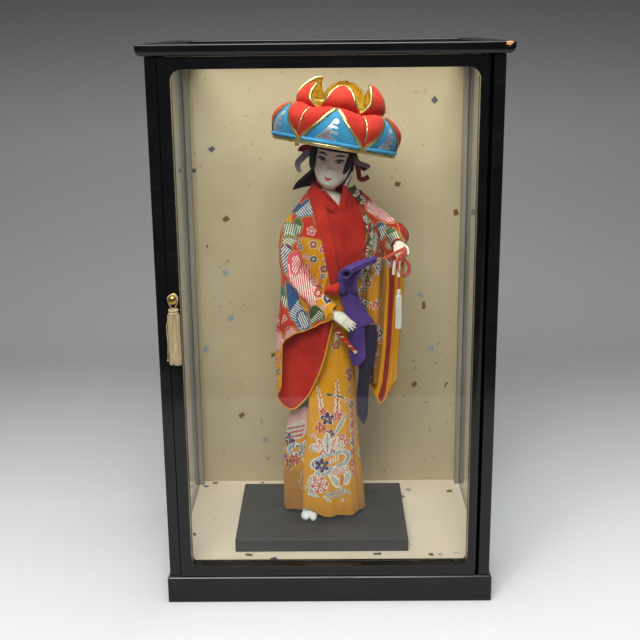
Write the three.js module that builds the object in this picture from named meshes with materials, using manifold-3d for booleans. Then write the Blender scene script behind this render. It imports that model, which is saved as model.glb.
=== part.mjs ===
// A Ryukyu-style dancer doll standing in its lacquered display case.
// Millimetres, +Z up, the front of the case faces -Y. The origin is the middle of the case's underside.
// Sides of the case are named as seen from the front, the doll's limbs by its own right and left.
import * as THREE from "three";
import { mergeVertices } from "three/addons/utils/BufferGeometryUtils.js";
import Module from "manifold-3d";

const wasm = await Module();
wasm.setup();

// Driving sizes: case
const caseWidth = 330;
const caseDepth = 240;
const headroom = 29.4;
const fitGap = 0.3;
const baseHeight = 28.5;
const baseOverhang = 2.5;
const baseBevel = 2;
const floorThickness = 5.5;
const postWidth = 11;
const rearPostDepth = 22;
const doorStopWidth = 4;
const doorStopDepth = 7;
const paneThickness = 2;
const grooveDepth = 6;
const backPanelThickness = 4;
const backPanelInset = 6;
const sideRailHeight = 11;

// Driving sizes: cornice
const corniceHeight = 10.5;
const corniceOverhang = 7.5;
const corniceCurve = 4.5;
const corniceEdge = 2.5;
const corniceRim = 25;
const corniceLedge = 6;
const topGlassThickness = 4;
const topGlassRecess = 3;

// Driving sizes: door
const doorThickness = 16;
const doorProud = 1.5;
const doorGap = 0.7;
const stileWidth = 11.3;
const doorRail = 11;
const windowRadius = 11;
const glassReveal = 9;
const glassRebate = 4;
const beadDepth = 4;
const pivotRadius = 2;
const pivotLength = 12;
const catchHeight = 20;
const catchWidth = 5;
const strikeThickness = 0.8;

// Driving sizes: door knob and its tassel
const knobHeight = 327;
const knobRadius = 4.3;
const knobReach = 15;
const knobStem = 2;
const tasselCord = 0.9;
const tasselDrop = 9;
const tasselCollar = 7;
const tasselLength = 49;
const tasselTopRadius = 5.6;
const tasselRadius = 7.2;

// Driving sizes: stand and the doll's body
const standWidth = 185;
const standDepth = 147;
const standHeight = 14;
const standX = -8;
const standY = -5;
const legRadius = 5;
const legSocket = 8;
const footLength = 32;
const footWidth = 14;
const footHeight = 8;
const figureWidth = 100;
const hipHeight = 206;
const waistHeight = 262;
const neckHeight = 362;
const torsoTurn = 18;
const clothThickness = 2.2;

// Driving sizes: costume
const hemHeight = 4;
const hemLift = 12;
const edgeLift = 9;
const skirtWrap = 420;
const skirtStart = -60;
const collarWidth = 13;
const collarRise = 5;
const collarRadius = 19;
const armRadius = 7;
const rightSleeveRadius = 13;
const leftSleeveRadius = 12.5;
const sleeveCloth = 2.4;
const sashThickness = 1.6;
const ribbonWidth = 7;
const ribbonThickness = 1;

// Driving sizes: head, hair and hat
const headTilt = 9.5;
const headTurn = -8;
const headX = 10;
const headHeight = 59;
const hairline = 44;
const hairWidth = 20.5;
const hairDepth = 22;
const hairHeight = 23;
const hatTilt = -5.5;
const hatHeight = 46;
const hatRadius = 65;
const hatPetals = 6;
const brimHeight = 39;
const brimShoulder = 50;
const brimDish = 8;
const petalPuff = 3.5;
const crownBase = 27;
const crownRadius = 46.5;
const crownHeight = 39;
const crownWall = 1.6;
const rimBandWidth = 4;
const rimBandThickness = 1;
const hatHollowRadius = 27;
const hatHollowHeight = 16;

// Driving sizes: tassel in the left hand
const handCordLength = 38;
const handCordRadius = 0.9;
const handTasselLength = 40;
const handTasselRadius = 3.6;

// Places that follow from the driving sizes
const halfWidth = caseWidth / 2;
const halfDepth = caseDepth / 2;
const floorTop = baseHeight + fitGap + floorThickness;
const standTop = floorTop + fitGap + standHeight;
const hatTop = standTop + neckHeight + hatHeight + brimHeight - brimDish + crownHeight;
const caseHeight = hatTop + headroom + topGlassThickness + topGlassRecess;
const corniceBottom = caseHeight - corniceHeight;
const postInner = halfWidth - postWidth;
const paneOuter = halfWidth - (postWidth - paneThickness) / 2 + 1;
const paneInner = paneOuter - paneThickness;
const doorFront = -halfDepth - doorProud;
const doorBack = doorFront + doorThickness;
const stopFront = doorBack + doorGap;
const frontPostBack = stopFront + doorStopDepth;
const rearPostFront = halfDepth - rearPostDepth;
const backPanelFront = halfDepth - backPanelInset - backPanelThickness;
const doorBottom = baseHeight + doorGap;
const doorTop = corniceBottom - doorGap;
const doorHalf = postInner - doorGap;
const heelRadius = doorThickness / 2;
const pivotX = doorHalf - heelRadius;
const pivotY = doorFront + heelRadius;
const windowHalf = doorHalf - stileWidth;
const windowBottom = doorBottom + doorRail;
const windowTop = doorTop - doorRail;
const glassFront = doorFront + glassReveal;
const knobX = -(windowHalf + stileWidth / 2);

const degrees = Math.PI / 180;
const mix = (a, b, t) => a + (b - a) * t;
const clamp01 = (t) => Math.min(1, Math.max(0, t));
const smooth = (a, b, x) => {
  const t = clamp01((x - a) / (b - a));
  return t * t * (3 - 2 * t);
};

// Finishes
const finish = (color, roughness, metalness = 0) =>
  new THREE.MeshStandardMaterial({ color, roughness, metalness });
const lacquer = finish(0x0b0c0e, 0.18);
const paper = finish(0xc2b190, 0.85);
const glass = new THREE.MeshStandardMaterial({
  color: 0xe8efec, roughness: 0.05, transparent: true, opacity: 0.2,
});
const brass = finish(0xb48a3e, 0.3, 1);
const steel = finish(0x8d9196, 0.35, 1);
const cream = finish(0xd9c9a0, 0.7);
const whiteSilk = finish(0xe6e3dc, 0.7);
const gofun = finish(0xe9e0d2, 0.45);
const straw = finish(0xb59a62, 0.9);
const wood = finish(0xb08a58, 0.8);
const yellowCloth = finish(0xd89a1e, 0.75);
const redCloth = finish(0xb3261e, 0.75);
const purpleCloth = finish(0x432a72, 0.75);
const blackHair = finish(0x131316, 0.5);
const hatRed = finish(0xe2391f, 0.7);
const hatGold = finish(0xc9a13b, 0.3, 1);
const standBlack = finish(0x1c1c1d, 0.4);

// Closed solids and their booleans
function solidOf(geometry) {
  const bare = new THREE.BufferGeometry();
  bare.setAttribute("position", geometry.getAttribute("position"));
  if (geometry.index) bare.setIndex(geometry.index);
  const merged = mergeVertices(bare, 1e-4);
  return new wasm.Manifold(new wasm.Mesh({
    numProp: 3,
    vertProperties: merged.getAttribute("position").array,
    triVerts: new Uint32Array(merged.index.array),
  }));
}

function geometryOf(solid) {
  const mesh = solid.getMesh();
  const points = new Float32Array(mesh.numVert * 3);
  for (let i = 0; i < mesh.numVert; i++) {
    points.set(mesh.vertProperties.subarray(i * mesh.numProp, i * mesh.numProp + 3), i * 3);
  }
  const geometry = new THREE.BufferGeometry();
  geometry.setAttribute("position", new THREE.BufferAttribute(points, 3));
  geometry.setIndex(new THREE.BufferAttribute(mesh.triVerts, 1));
  geometry.computeVertexNormals();
  return geometry;
}

const cut = (body, ...tools) =>
  geometryOf(tools.reduce((solid, tool) => solid.subtract(solidOf(tool)), solidOf(body)));
const join = (...bodies) =>
  geometryOf(bodies.map(solidOf).reduce((all, solid) => all.add(solid)));
const common = (a, b) => geometryOf(solidOf(a).intersect(solidOf(b)));

// Keeps the largest body of a solid that a cut has parted
function largest(geometry) {
  const bodies = solidOf(geometry).decompose();
  return geometryOf(bodies.reduce((a, b) => (a.volume() > b.volume() ? a : b)));
}

// An indexed mesh whose faces are turned to point outwards
function facingOut(points, faces) {
  let volume = 0;
  for (let i = 0; i < faces.length; i += 3) {
    const [a, b, c] = [points[faces[i]], points[faces[i + 1]], points[faces[i + 2]]];
    volume += a.dot(new THREE.Vector3().crossVectors(b, c));
  }
  if (volume < 0) {
    for (let i = 0; i < faces.length; i += 3) {
      [faces[i + 1], faces[i + 2]] = [faces[i + 2], faces[i + 1]];
    }
  }
  const geometry = new THREE.BufferGeometry().setFromPoints(points);
  geometry.setIndex(faces);
  geometry.computeVertexNormals();
  return geometry;
}

// A skin over rings of equally many points, with a fan over each end
function loft(rings) {
  const count = rings[0].length;
  const points = rings.flat();
  const faces = [];
  for (let r = 0; r + 1 < rings.length; r++) {
    for (let i = 0; i < count; i++) {
      const a = r * count + i;
      const b = r * count + ((i + 1) % count);
      faces.push(a, b, b + count, a, b + count, a + count);
    }
  }
  for (const [ring, turned] of [[0, true], [rings.length - 1, false]]) {
    const middle = new THREE.Vector3();
    rings[ring].forEach((p) => middle.add(p));
    points.push(middle.divideScalar(count));
    for (let i = 0; i < count; i++) {
      const a = ring * count + i;
      const b = ring * count + ((i + 1) % count);
      faces.push(points.length - 1, turned ? b : a, turned ? a : b);
    }
  }
  return facingOut(points, faces);
}

// A sheet of cloth: the surface place(u, v) given a thickness on its inner side
function sheet(place, across, along, thickness) {
  const at = (u, v) => new THREE.Vector3(...place(u, v));
  const step = 1e-3;
  const points = [[], []];
  for (let j = 0; j <= along; j++) {
    for (let i = 0; i <= across; i++) {
      const u = i / across;
      const v = j / along;
      const du = at(Math.min(1, u + step), v).sub(at(Math.max(0, u - step), v));
      const dv = at(u, Math.min(1, v + step)).sub(at(u, Math.max(0, v - step)));
      const normal = du.cross(dv).normalize();
      points[0].push(at(u, v));
      points[1].push(at(u, v).addScaledVector(normal, -thickness));
    }
  }
  const row = across + 1;
  const layer = row * (along + 1);
  const faces = [];
  for (let j = 0; j < along; j++) {
    for (let i = 0; i < across; i++) {
      const a = j * row + i;
      faces.push(a, a + 1, a + row + 1, a, a + row + 1, a + row);
      const b = layer + a;
      faces.push(b, b + row + 1, b + 1, b, b + row, b + row + 1);
    }
  }
  const wall = (a, b) => faces.push(a, layer + a, layer + b, a, layer + b, b);
  for (let i = 0; i < across; i++) {
    wall(i, i + 1);
    wall(along * row + i + 1, along * row + i);
  }
  for (let j = 0; j < along; j++) {
    wall((j + 1) * row, j * row);
    wall(j * row + across, (j + 1) * row + across);
  }
  return facingOut([...points[0], ...points[1]], faces);
}

// A round limb along a curve, with its own radius at each step
function limb(path, radiusAt, steps, sides) {
  const curve = new THREE.CatmullRomCurve3(path.map((p) => new THREE.Vector3(...p)));
  const frames = curve.computeFrenetFrames(steps, false);
  const rings = [];
  for (let s = 0; s <= steps; s++) {
    const middle = curve.getPointAt(s / steps);
    const radius = radiusAt(s / steps);
    rings.push(Array.from({ length: sides }, (_, i) => {
      const angle = (i / sides) * 2 * Math.PI;
      return middle.clone()
        .addScaledVector(frames.normals[s], Math.cos(angle) * radius)
        .addScaledVector(frames.binormals[s], Math.sin(angle) * radius);
    }));
  }
  return loft(rings);
}

const ellipse = (count, cx, cy, z, rx, ry, turn = 0) =>
  Array.from({ length: count }, (_, i) => {
    const angle = (i / count) * 2 * Math.PI;
    const [x, y] = [rx * Math.cos(angle), ry * Math.sin(angle)];
    return new THREE.Vector3(
      cx + x * Math.cos(turn) - y * Math.sin(turn),
      cy + x * Math.sin(turn) + y * Math.cos(turn),
      z,
    );
  });

const boxBetween = (x0, x1, y0, y1, z0, z1) =>
  new THREE.BoxGeometry(x1 - x0, y1 - y0, z1 - z0)
    .translate((x0 + x1) / 2, (y0 + y1) / 2, (z0 + z1) / 2);

const outline = (points) => new THREE.Shape(points.map(([x, y]) => new THREE.Vector2(x, y)));

// An outline in plan, raised from z0 to z1
const raised = (shape, z0, z1, curveSegments = 8) =>
  new THREE.ExtrudeGeometry(shape, { depth: z1 - z0, bevelEnabled: false, curveSegments })
    .translate(0, 0, z0);

// An outline in front view, running from y0 to y1
const deepened = (shape, y0, y1, curveSegments = 8) =>
  new THREE.ExtrudeGeometry(shape, { depth: y1 - y0, bevelEnabled: false, curveSegments })
    .rotateX(Math.PI / 2)
    .translate(0, y1, 0);

const rod = (radius, x, y, z0, z1, sides = 16) =>
  new THREE.CylinderGeometry(radius, radius, z1 - z0, sides)
    .rotateX(Math.PI / 2)
    .translate(x, y, (z0 + z1) / 2);

function roundedWindow(half, bottom, top, radius) {
  const shape = new THREE.Shape();
  shape.moveTo(-half + radius, bottom);
  shape.lineTo(half - radius, bottom);
  shape.absarc(half - radius, bottom + radius, radius, -Math.PI / 2, 0);
  shape.lineTo(half, top - radius);
  shape.absarc(half - radius, top - radius, radius, 0, Math.PI / 2);
  shape.lineTo(-half + radius, top);
  shape.absarc(-half + radius, top - radius, radius, Math.PI / 2, Math.PI);
  shape.lineTo(-half, bottom + radius);
  shape.absarc(-half + radius, bottom + radius, radius, Math.PI, 1.5 * Math.PI);
  return shape;
}

// A moulding with mitred corners: profile points are [inset from the outer edge, z]
function mitredFrame(outerHalfWidth, outerHalfDepth, profile) {
  const points = [];
  const faces = [];
  const count = profile.length;
  for (const [sx, sy] of [[-1, -1], [1, -1], [1, 1], [-1, 1]]) {
    for (const [inset, z] of profile) {
      points.push(new THREE.Vector3(sx * (outerHalfWidth - inset), sy * (outerHalfDepth - inset), z));
    }
  }
  for (let corner = 0; corner < 4; corner++) {
    for (let i = 0; i < count; i++) {
      const a = corner * count + i;
      const b = corner * count + ((i + 1) % count);
      const c = ((corner + 1) % 4) * count + i;
      const d = ((corner + 1) % 4) * count + ((i + 1) % count);
      faces.push(a, b, d, a, d, c);
    }
  }
  return facingOut(points, faces);
}

const part = new THREE.Group();
const doll = new THREE.Group();
doll.position.set(standX, standY, standTop);
part.add(doll);

function place(group, name, geometry, material) {
  const mesh = new THREE.Mesh(geometry, material);
  mesh.name = name;
  group.add(mesh);
  return mesh;
}

// Case: plinth, floor, posts, panes, back panel
const plinthHalfWidth = halfWidth + baseOverhang;
const plinthHalfDepth = halfDepth + baseOverhang;
const plinth = loft([[0, baseHeight - baseBevel], [0, 0]].reverse().concat([[baseBevel, baseHeight]])
  .map(([inset, z]) => [[-1, -1], [1, -1], [1, 1], [-1, 1]].map(([sx, sy]) =>
    new THREE.Vector3(sx * (plinthHalfWidth - inset), sy * (plinthHalfDepth - inset), z))));
const pivotHole = (z0, z1) => rod(pivotRadius + fitGap, pivotX, pivotY, z0, z1);
const pivotSink = pivotLength / 2 + fitGap;
place(part, "base_plinth", cut(plinth, pivotHole(baseHeight - pivotSink, baseHeight + 1)), lacquer);

const floorFront = stopFront + fitGap;
const floorPlan = (sx) => [
  [sx * (postInner - doorStopWidth - fitGap), floorFront],
  [sx * (postInner - doorStopWidth - fitGap), frontPostBack + fitGap],
  [sx * (paneInner - fitGap), frontPostBack + fitGap],
  [sx * (paneInner - fitGap), rearPostFront - fitGap],
  [sx * (postInner - fitGap), rearPostFront - fitGap],
  [sx * (postInner - fitGap), backPanelFront - fitGap],
];
const floorShape = outline([...floorPlan(1), ...floorPlan(-1).reverse()]);
place(part, "floor_board", raised(floorShape, baseHeight + fitGap, floorTop), paper);

const postBottom = baseHeight + fitGap;
const postTop = corniceBottom - fitGap;
const grooveInner = paneInner - fitGap;
const grooveOuter = paneOuter + fitGap;

function frontPost(sx) {
  const plan = [
    [postInner, -halfDepth], [halfWidth, -halfDepth], [halfWidth, frontPostBack],
    [grooveOuter, frontPostBack], [grooveOuter, frontPostBack - grooveDepth],
    [grooveInner, frontPostBack - grooveDepth], [grooveInner, frontPostBack],
    [postInner - doorStopWidth, frontPostBack], [postInner - doorStopWidth, stopFront],
    [postInner, stopFront],
  ];
  return raised(outline(plan.map(([x, y]) => [sx * x, y])), postBottom, postTop);
}

function rearPost(sx) {
  const slotFront = backPanelFront - fitGap;
  const slotBack = backPanelFront + backPanelThickness + fitGap;
  const slotInner = grooveInner - 1.2;
  const plan = [
    [postInner, rearPostFront], [grooveInner, rearPostFront], [grooveInner, rearPostFront + grooveDepth],
    [grooveOuter, rearPostFront + grooveDepth], [grooveOuter, rearPostFront], [halfWidth, rearPostFront],
    [halfWidth, halfDepth], [postInner, halfDepth], [postInner, slotBack],
    [slotInner, slotBack], [slotInner, slotFront], [postInner, slotFront],
  ];
  return raised(outline(plan.map(([x, y]) => [sx * x, y])), postBottom, postTop);
}

const railBottom = corniceBottom - fitGap - sideRailHeight;

function sideRail(sx) {
  const section = [
    [postInner, railBottom], [grooveInner, railBottom], [grooveInner, railBottom + grooveDepth],
    [grooveOuter, railBottom + grooveDepth], [grooveOuter, railBottom], [halfWidth, railBottom],
    [halfWidth, postTop], [postInner, postTop],
  ];
  const shape = outline(section.map(([x, z]) => [sx * x, z]));
  return deepened(shape, frontPostBack + fitGap, rearPostFront - fitGap);
}

for (const [side, sx] of [["left", -1], ["right", 1]]) {
  place(part, `front_${side}_post`, frontPost(sx), lacquer);
  place(part, `rear_${side}_post`, rearPost(sx), lacquer);
  place(part, `${side}_top_rail`, sideRail(sx), lacquer);
  const [x0, x1] = sx < 0 ? [-paneOuter, -paneInner] : [paneInner, paneOuter];
  const pane = boxBetween(
    x0, x1,
    frontPostBack - grooveDepth + fitGap, rearPostFront + grooveDepth - fitGap,
    postBottom, railBottom + grooveDepth - fitGap,
  );
  place(part, `${side}_side_glass`, pane, glass);
}

const panelHalf = grooveInner - 1.2 - fitGap;
place(part, "back_panel", boxBetween(
  -panelHalf, panelHalf,
  backPanelFront, backPanelFront + backPanelThickness,
  postBottom, postTop,
), paper);

// Case: cornice moulding and the pane in it
const curveSteps = 5;
const curveTop = caseHeight - corniceEdge;
const ovolo = Array.from({ length: curveSteps + 1 }, (_, i) => {
  const angle = (i / curveSteps) * Math.PI / 2;
  return [corniceCurve * (1 - Math.cos(angle)), curveTop - (curveTop - corniceBottom) * Math.sin(angle)];
});
const topGlassBottom = caseHeight - topGlassRecess - topGlassThickness;
const corniceProfile = [
  ...ovolo,
  [corniceRim + corniceLedge, corniceBottom], [corniceRim + corniceLedge, topGlassBottom - fitGap],
  [corniceRim, topGlassBottom - fitGap], [corniceRim, caseHeight], [0, caseHeight],
];
const cornice = mitredFrame(halfWidth + corniceOverhang, halfDepth + corniceOverhang, corniceProfile);
place(part, "cornice_frame", cut(cornice, pivotHole(corniceBottom - 1, corniceBottom + pivotSink)), lacquer);
const topHalfWidth = halfWidth + corniceOverhang - corniceRim - fitGap;
const topHalfDepth = halfDepth + corniceOverhang - corniceRim - fitGap;
place(part, "top_glass", boxBetween(
  -topHalfWidth, topHalfWidth, -topHalfDepth, topHalfDepth,
  topGlassBottom, caseHeight - topGlassRecess,
), glass);

// Door: framed glass that turns on two pins in its round heel
const doorPlan = new THREE.Shape();
doorPlan.moveTo(-doorHalf, doorFront);
doorPlan.lineTo(pivotX, doorFront);
doorPlan.absarc(pivotX, pivotY, heelRadius, -Math.PI / 2, Math.PI / 2);
doorPlan.lineTo(-doorHalf, doorBack);
const rebateHalf = windowHalf + glassRebate;
const rebateBottom = windowBottom - glassRebate;
const rebateTop = windowTop + glassRebate;
const pinInDoor = pivotLength / 2 - doorGap + fitGap;
const knobScrew = doorThickness * 0.4;
const knobBore = new THREE.CylinderGeometry(knobStem, knobStem, 2 * knobScrew, 12)
  .translate(knobX, doorFront, knobHeight);
place(part, "door_frame", cut(
  raised(doorPlan, doorBottom, doorTop),
  deepened(roundedWindow(windowHalf, windowBottom, windowTop, windowRadius), doorFront - 1, doorBack + 1, 6),
  boxBetween(-rebateHalf, rebateHalf, glassFront, doorBack + 1, rebateBottom, rebateTop),
  pivotHole(doorBottom - 1, doorBottom + pinInDoor),
  pivotHole(doorTop - pinInDoor, doorTop + 1),
  knobBore,
), lacquer);
const paneHalf = rebateHalf - fitGap;
const glassBack = glassFront + fitGap + paneThickness;
place(part, "door_glass", boxBetween(
  -paneHalf, paneHalf, glassFront + fitGap, glassBack, rebateBottom + fitGap, rebateTop - fitGap,
), glass);
const beadFront = glassBack + fitGap;
const beadBack = Math.min(beadFront + beadDepth, doorBack);
const beadWidth = glassRebate - fitGap;
for (const [name, z0, z1] of [
  ["top_glazing_bead", rebateTop - fitGap - beadWidth, rebateTop - fitGap],
  ["bottom_glazing_bead", rebateBottom + fitGap, rebateBottom + fitGap + beadWidth],
]) {
  place(part, name, boxBetween(-paneHalf, paneHalf, beadFront, beadBack, z0, z1), lacquer);
}
for (const [name, x0, x1] of [
  ["left_glazing_bead", -paneHalf, -paneHalf + beadWidth],
  ["right_glazing_bead", paneHalf - beadWidth, paneHalf],
]) {
  place(part, name, boxBetween(
    x0, x1, beadFront, beadBack, rebateBottom + beadWidth + 2 * fitGap, rebateTop - beadWidth - 2 * fitGap,
  ), lacquer);
}
place(part, "lower_pivot_pin",
  rod(pivotRadius, pivotX, pivotY, baseHeight - pivotLength / 2, baseHeight + pivotLength / 2), brass);
place(part, "upper_pivot_pin",
  rod(pivotRadius, pivotX, pivotY, corniceBottom - pivotLength / 2, corniceBottom + pivotLength / 2), brass);

// Door: magnetic catch behind the free stile
const catchX = -(postInner - doorStopWidth - fitGap);
const catchMiddle = (doorBottom + doorTop) / 2;
place(part, "strike_plate", boxBetween(
  catchX, catchX + catchWidth, doorBack + fitGap / 3, doorBack + fitGap / 3 + strikeThickness / 2,
  catchMiddle - catchHeight / 2, catchMiddle + catchHeight / 2,
), steel);
place(part, "catch_magnet", boxBetween(
  catchX, catchX + catchWidth, stopFront + fitGap, frontPostBack,
  catchMiddle - catchHeight / 2, catchMiddle + catchHeight / 2,
), steel);

// Door: knob, and the tassel that swings on its stem
const knobProfile = [
  [0, -knobScrew + fitGap], [knobStem - fitGap, -knobScrew + fitGap], [knobStem - fitGap, fitGap],
  [knobRadius, fitGap], [knobRadius, 1.2], [knobStem, 2], [knobStem, knobReach * 0.55],
  [knobRadius * 0.8, knobReach * 0.62], [knobRadius, knobReach * 0.75],
  [knobRadius * 0.95, knobReach * 0.88], [knobRadius * 0.6, knobReach * 0.97], [0, knobReach],
];
const knob = new THREE.LatheGeometry(knobProfile.map(([r, y]) => new THREE.Vector2(r, y)), 16)
  .rotateX(Math.PI)
  .translate(knobX, doorFront, knobHeight);
place(part, "door_knob", geometryOf(solidOf(knob)), brass);

const tasselY = doorFront - fitGap - tasselRadius;
const collarTop = knobHeight - tasselDrop;
const loopInner = knobStem + tasselCord + fitGap;
const loop = limb([
  [-tasselCord - fitGap, 0, collarTop + fitGap], [-loopInner * 1.5, 0, knobHeight - tasselDrop * 0.4],
  [-loopInner * 1.3, 0, knobHeight + loopInner * 0.5], [0, 0, knobHeight + loopInner],
  [loopInner * 1.3, 0, knobHeight + loopInner * 0.5], [loopInner * 1.5, 0, knobHeight - tasselDrop * 0.4],
  [tasselCord + fitGap, 0, collarTop + fitGap],
], () => tasselCord, 16, 6).translate(knobX, tasselY, 0);
const collarLevel = new THREE.Plane(new THREE.Vector3(0, 0, 1), -collarTop - fitGap);
const belowCollar = boxBetween(
  knobX - tasselRadius, knobX + tasselRadius, tasselY - tasselRadius, tasselY + tasselRadius,
  -collarLevel.constant - tasselRadius, -collarLevel.constant,
);
place(part, "tassel_loop", cut(loop, belowCollar), cream);

// A tassel's bound head: two wraps of cord
function wraps(radius, height) {
  const profile = [[0, 0], [radius * 0.8, 0]];
  for (const turn of [0, 1]) {
    const z = (turn + 0.5) * height / 2;
    profile.push([radius, z - height * 0.15], [radius, z + height * 0.15]);
    profile.push([radius * 0.82, z + height * 0.25]);
  }
  profile.push([0, height]);
  return new THREE.LatheGeometry(profile.map(([r, y]) => new THREE.Vector2(r, y)), 16).rotateX(Math.PI / 2);
}

// A tassel's skirt: strands gathered at the top and fluted where they hang
function strands(topRadius, bottomRadius, length, flutes) {
  const sides = flutes * 3;
  const levels = [[0, 0.72], [0.06, 1], [0.3, 1.02], [0.7, 1], [1, 1]];
  return loft(levels.map(([t, swell]) => Array.from({ length: sides }, (_, i) => {
    const angle = (i / sides) * 2 * Math.PI;
    const radius = mix(topRadius, bottomRadius, t) * swell * (0.965 + 0.035 * Math.cos(flutes * angle));
    return new THREE.Vector3(radius * Math.cos(angle), radius * Math.sin(angle), -t * length);
  })));
}
const collarBottom = collarTop - tasselCollar;
place(part, "tassel_collar",
  wraps(tasselTopRadius * 0.85, tasselCollar).translate(knobX, tasselY, collarBottom), cream);
const doorStrands = strands(tasselTopRadius, tasselRadius, tasselLength, 10);
place(part, "tassel_skirt", doorStrands.translate(knobX, tasselY, collarBottom - fitGap), cream);

// Stand: a black board with a blind socket for each leg
const legs = {
  right: [-0.1 * figureWidth, -0.02 * figureWidth],
  left: [0.14 * figureWidth, 0.04 * figureWidth],
};
const socketDepth = legSocket + fitGap;
const board = boxBetween(-standWidth / 2, standWidth / 2, -standDepth / 2, standDepth / 2, -standHeight, 0);
const sockets = Object.values(legs).map(([x, y]) => rod(legRadius + fitGap, x, y, -socketDepth, 1));
place(doll, "display_stand", cut(board, ...sockets), standBlack);

// The pose and the garments are drawn in shares: widths and depths of the figure's width,
// heights of the torso's length, from the waist
const torsoZ = (share) => mix(waistHeight, neckHeight, share);
const posed = ([x, y, z]) => [x * figureWidth, y * figureWidth, torsoZ(z)];
const frontView = ([x, z]) => [x * figureWidth, torsoZ(z)];
const sized = ([level, ...shares]) => [level, ...shares.map((share) => share * figureWidth)];

// Trunk: levels from the hips to the neck as [height, middle x, middle y, half width, half depth]
const trunkLevels = [
  [hipHeight, 0.04, 0.03, 0.235, 0.165], [waistHeight, 0.07, 0.02, 0.254, 0.188],
  [torsoZ(0.38), 0.11, 0, 0.33, 0.24], [torsoZ(0.7), 0.13, 0.01, 0.38, 0.21],
  [torsoZ(0.88), 0.14, 0.02, 0.32, 0.17],
  [neckHeight + collarRise, 0.14, 0.01, collarRadius / figureWidth, 0.15],
].map(sized);

// Values between two levels of a table whose first column is the height
function between(levels, height) {
  const next = levels.findIndex((level) => level[0] >= height);
  if (next < 0) return levels[levels.length - 1].slice(1);
  if (next === 0) return levels[0].slice(1);
  const [low, high] = [levels[next - 1], levels[next]];
  const t = (height - low[0]) / (high[0] - low[0]);
  return low.slice(1).map((value, i) => mix(value, high[i + 1], t));
}

// The trunk's surface moved outwards by an offset, between two heights
const trunkSteps = 10;
const trunkReach = 4;
function trunk(offset, bottom, top) {
  const rings = [];
  for (let s = 0; s <= trunkSteps; s++) {
    const z = mix(hipHeight - trunkReach, neckHeight + collarRise + trunkReach, s / trunkSteps);
    const [cx, cy, rx, ry] = between(trunkLevels, z - offset * 0.6 * smooth(waistHeight, neckHeight, z));
    const turn = torsoTurn * degrees * smooth(waistHeight, torsoZ(0.6), z);
    rings.push(ellipse(20, cx, cy, z, rx + offset, ry + offset, turn));
  }
  return common(loft(rings), boxBetween(-2 * caseWidth, 2 * caseWidth, -caseWidth, caseWidth, bottom, top));
}
const trunkShell = (inner, outer, bottom, top) =>
  cut(trunk(outer, bottom, top), trunk(inner, bottom - 1, top + 1));

// Legs and split-toed socks
for (const [side, [x, y]] of Object.entries(legs)) {
  place(doll, `${side}_leg`, rod(legRadius, x, y, -legSocket, hipHeight - fitGap, 14), wood);
  const lobe = (rx, ry, rz, px, py, pz) =>
    new THREE.SphereGeometry(1, 10, 6).scale(rx, ry, rz).translate(px, py, pz);
  const toes = footLength * 0.75;
  const [half, rise] = [footLength * 0.25, footHeight * 0.9];
  const foot = join(
    lobe(footWidth * 0.46, footLength * 0.42, footHeight * 1.5, 0, -footLength * 0.12, 0),
    lobe(footWidth * 0.24, half * 0.96, rise, footWidth * 0.24, -toes + half * 1.04, 0),
    lobe(footWidth * 0.3, half, rise, -footWidth * 0.2, -toes + half * 1.12, 0),
  ).translate(x, y, 0);
  const ground = boxBetween(-footLength, footLength, -footLength, footLength, -footLength, fitGap)
    .translate(x, y, 0);
  const ankle = rod(legRadius + fitGap, x, y, -1, footLength, 14);
  place(doll, `${side}_foot`, cut(foot, ground, ankle), whiteSilk);
}

// Arms: bent limbs from the shoulder to the wrist
const rightArmPath = [
  [-0.08, 0.03, 0.78], [-0.28, -0.01, 0.52], [-0.34, -0.14, 0.19],
  [-0.16, -0.27, -0.03], [0.12, -0.36, -0.21],
].map(posed);
const leftArmPath = [
  [0.4, 0.03, 0.75], [0.62, 0.05, 0.66], [0.82, 0.04, 0.53], [0.86, -0.11, 0.49], [0.85, -0.24, 0.49],
].map(posed);
const armShape = (swell) => (t) => mix(armRadius, armRadius * 0.6, t) + swell;
const rightArm = (swell) => limb(rightArmPath, armShape(swell), 10, 10);
const leftArm = (swell) => limb(leftArmPath, armShape(swell), 10, 10);

// Neck and head: levels as [height above the neck, middle y, half width, half depth] of a head 59 tall
const headScale = headHeight / 59;
const headLevels = [
  [-16, 3, 13, 10], [-8, 2, 9.5, 9], [2, 1, 7.5, 7.5], [6, -4, 8, 10],
  [8.5, -5, 10.5, 13.5], [13, -4, 14, 16.5], [20, -2.5, 16.6, 18.3], [28, -1.5, 17.5, 19.3],
  [38, -1, 17.2, 19.5], [48, -1, 15.5, 18], [55, -1, 11, 13], [59, -1, 4, 5],
].map((level) => level.map((size) => size * headScale));
const skull = (swell) => loft(headLevels.map(([z, cy, rx, ry]) =>
  ellipse(20, 0, cy, z + swell * smooth(0.68 * headHeight, headHeight, z), rx + swell, ry + swell)));
const head = new THREE.Group();
head.position.set(headX, 0, neckHeight);
head.rotation.set(0, headTilt * degrees, headTurn * degrees, "YZX");
head.updateMatrix();
doll.add(head);
const neckInDoll = skull(fitGap).applyMatrix4(head.matrix);

place(doll, "body_core", cut(
  trunk(-clothThickness - fitGap, hipHeight, neckHeight - 3), neckInDoll,
), straw);
const coreSpace = trunk(-clothThickness, hipHeight - 1, neckHeight + collarRise);
place(doll, "right_arm", cut(rightArm(0), coreSpace), straw);
place(doll, "left_arm", cut(leftArm(0), coreSpace), straw);

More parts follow.
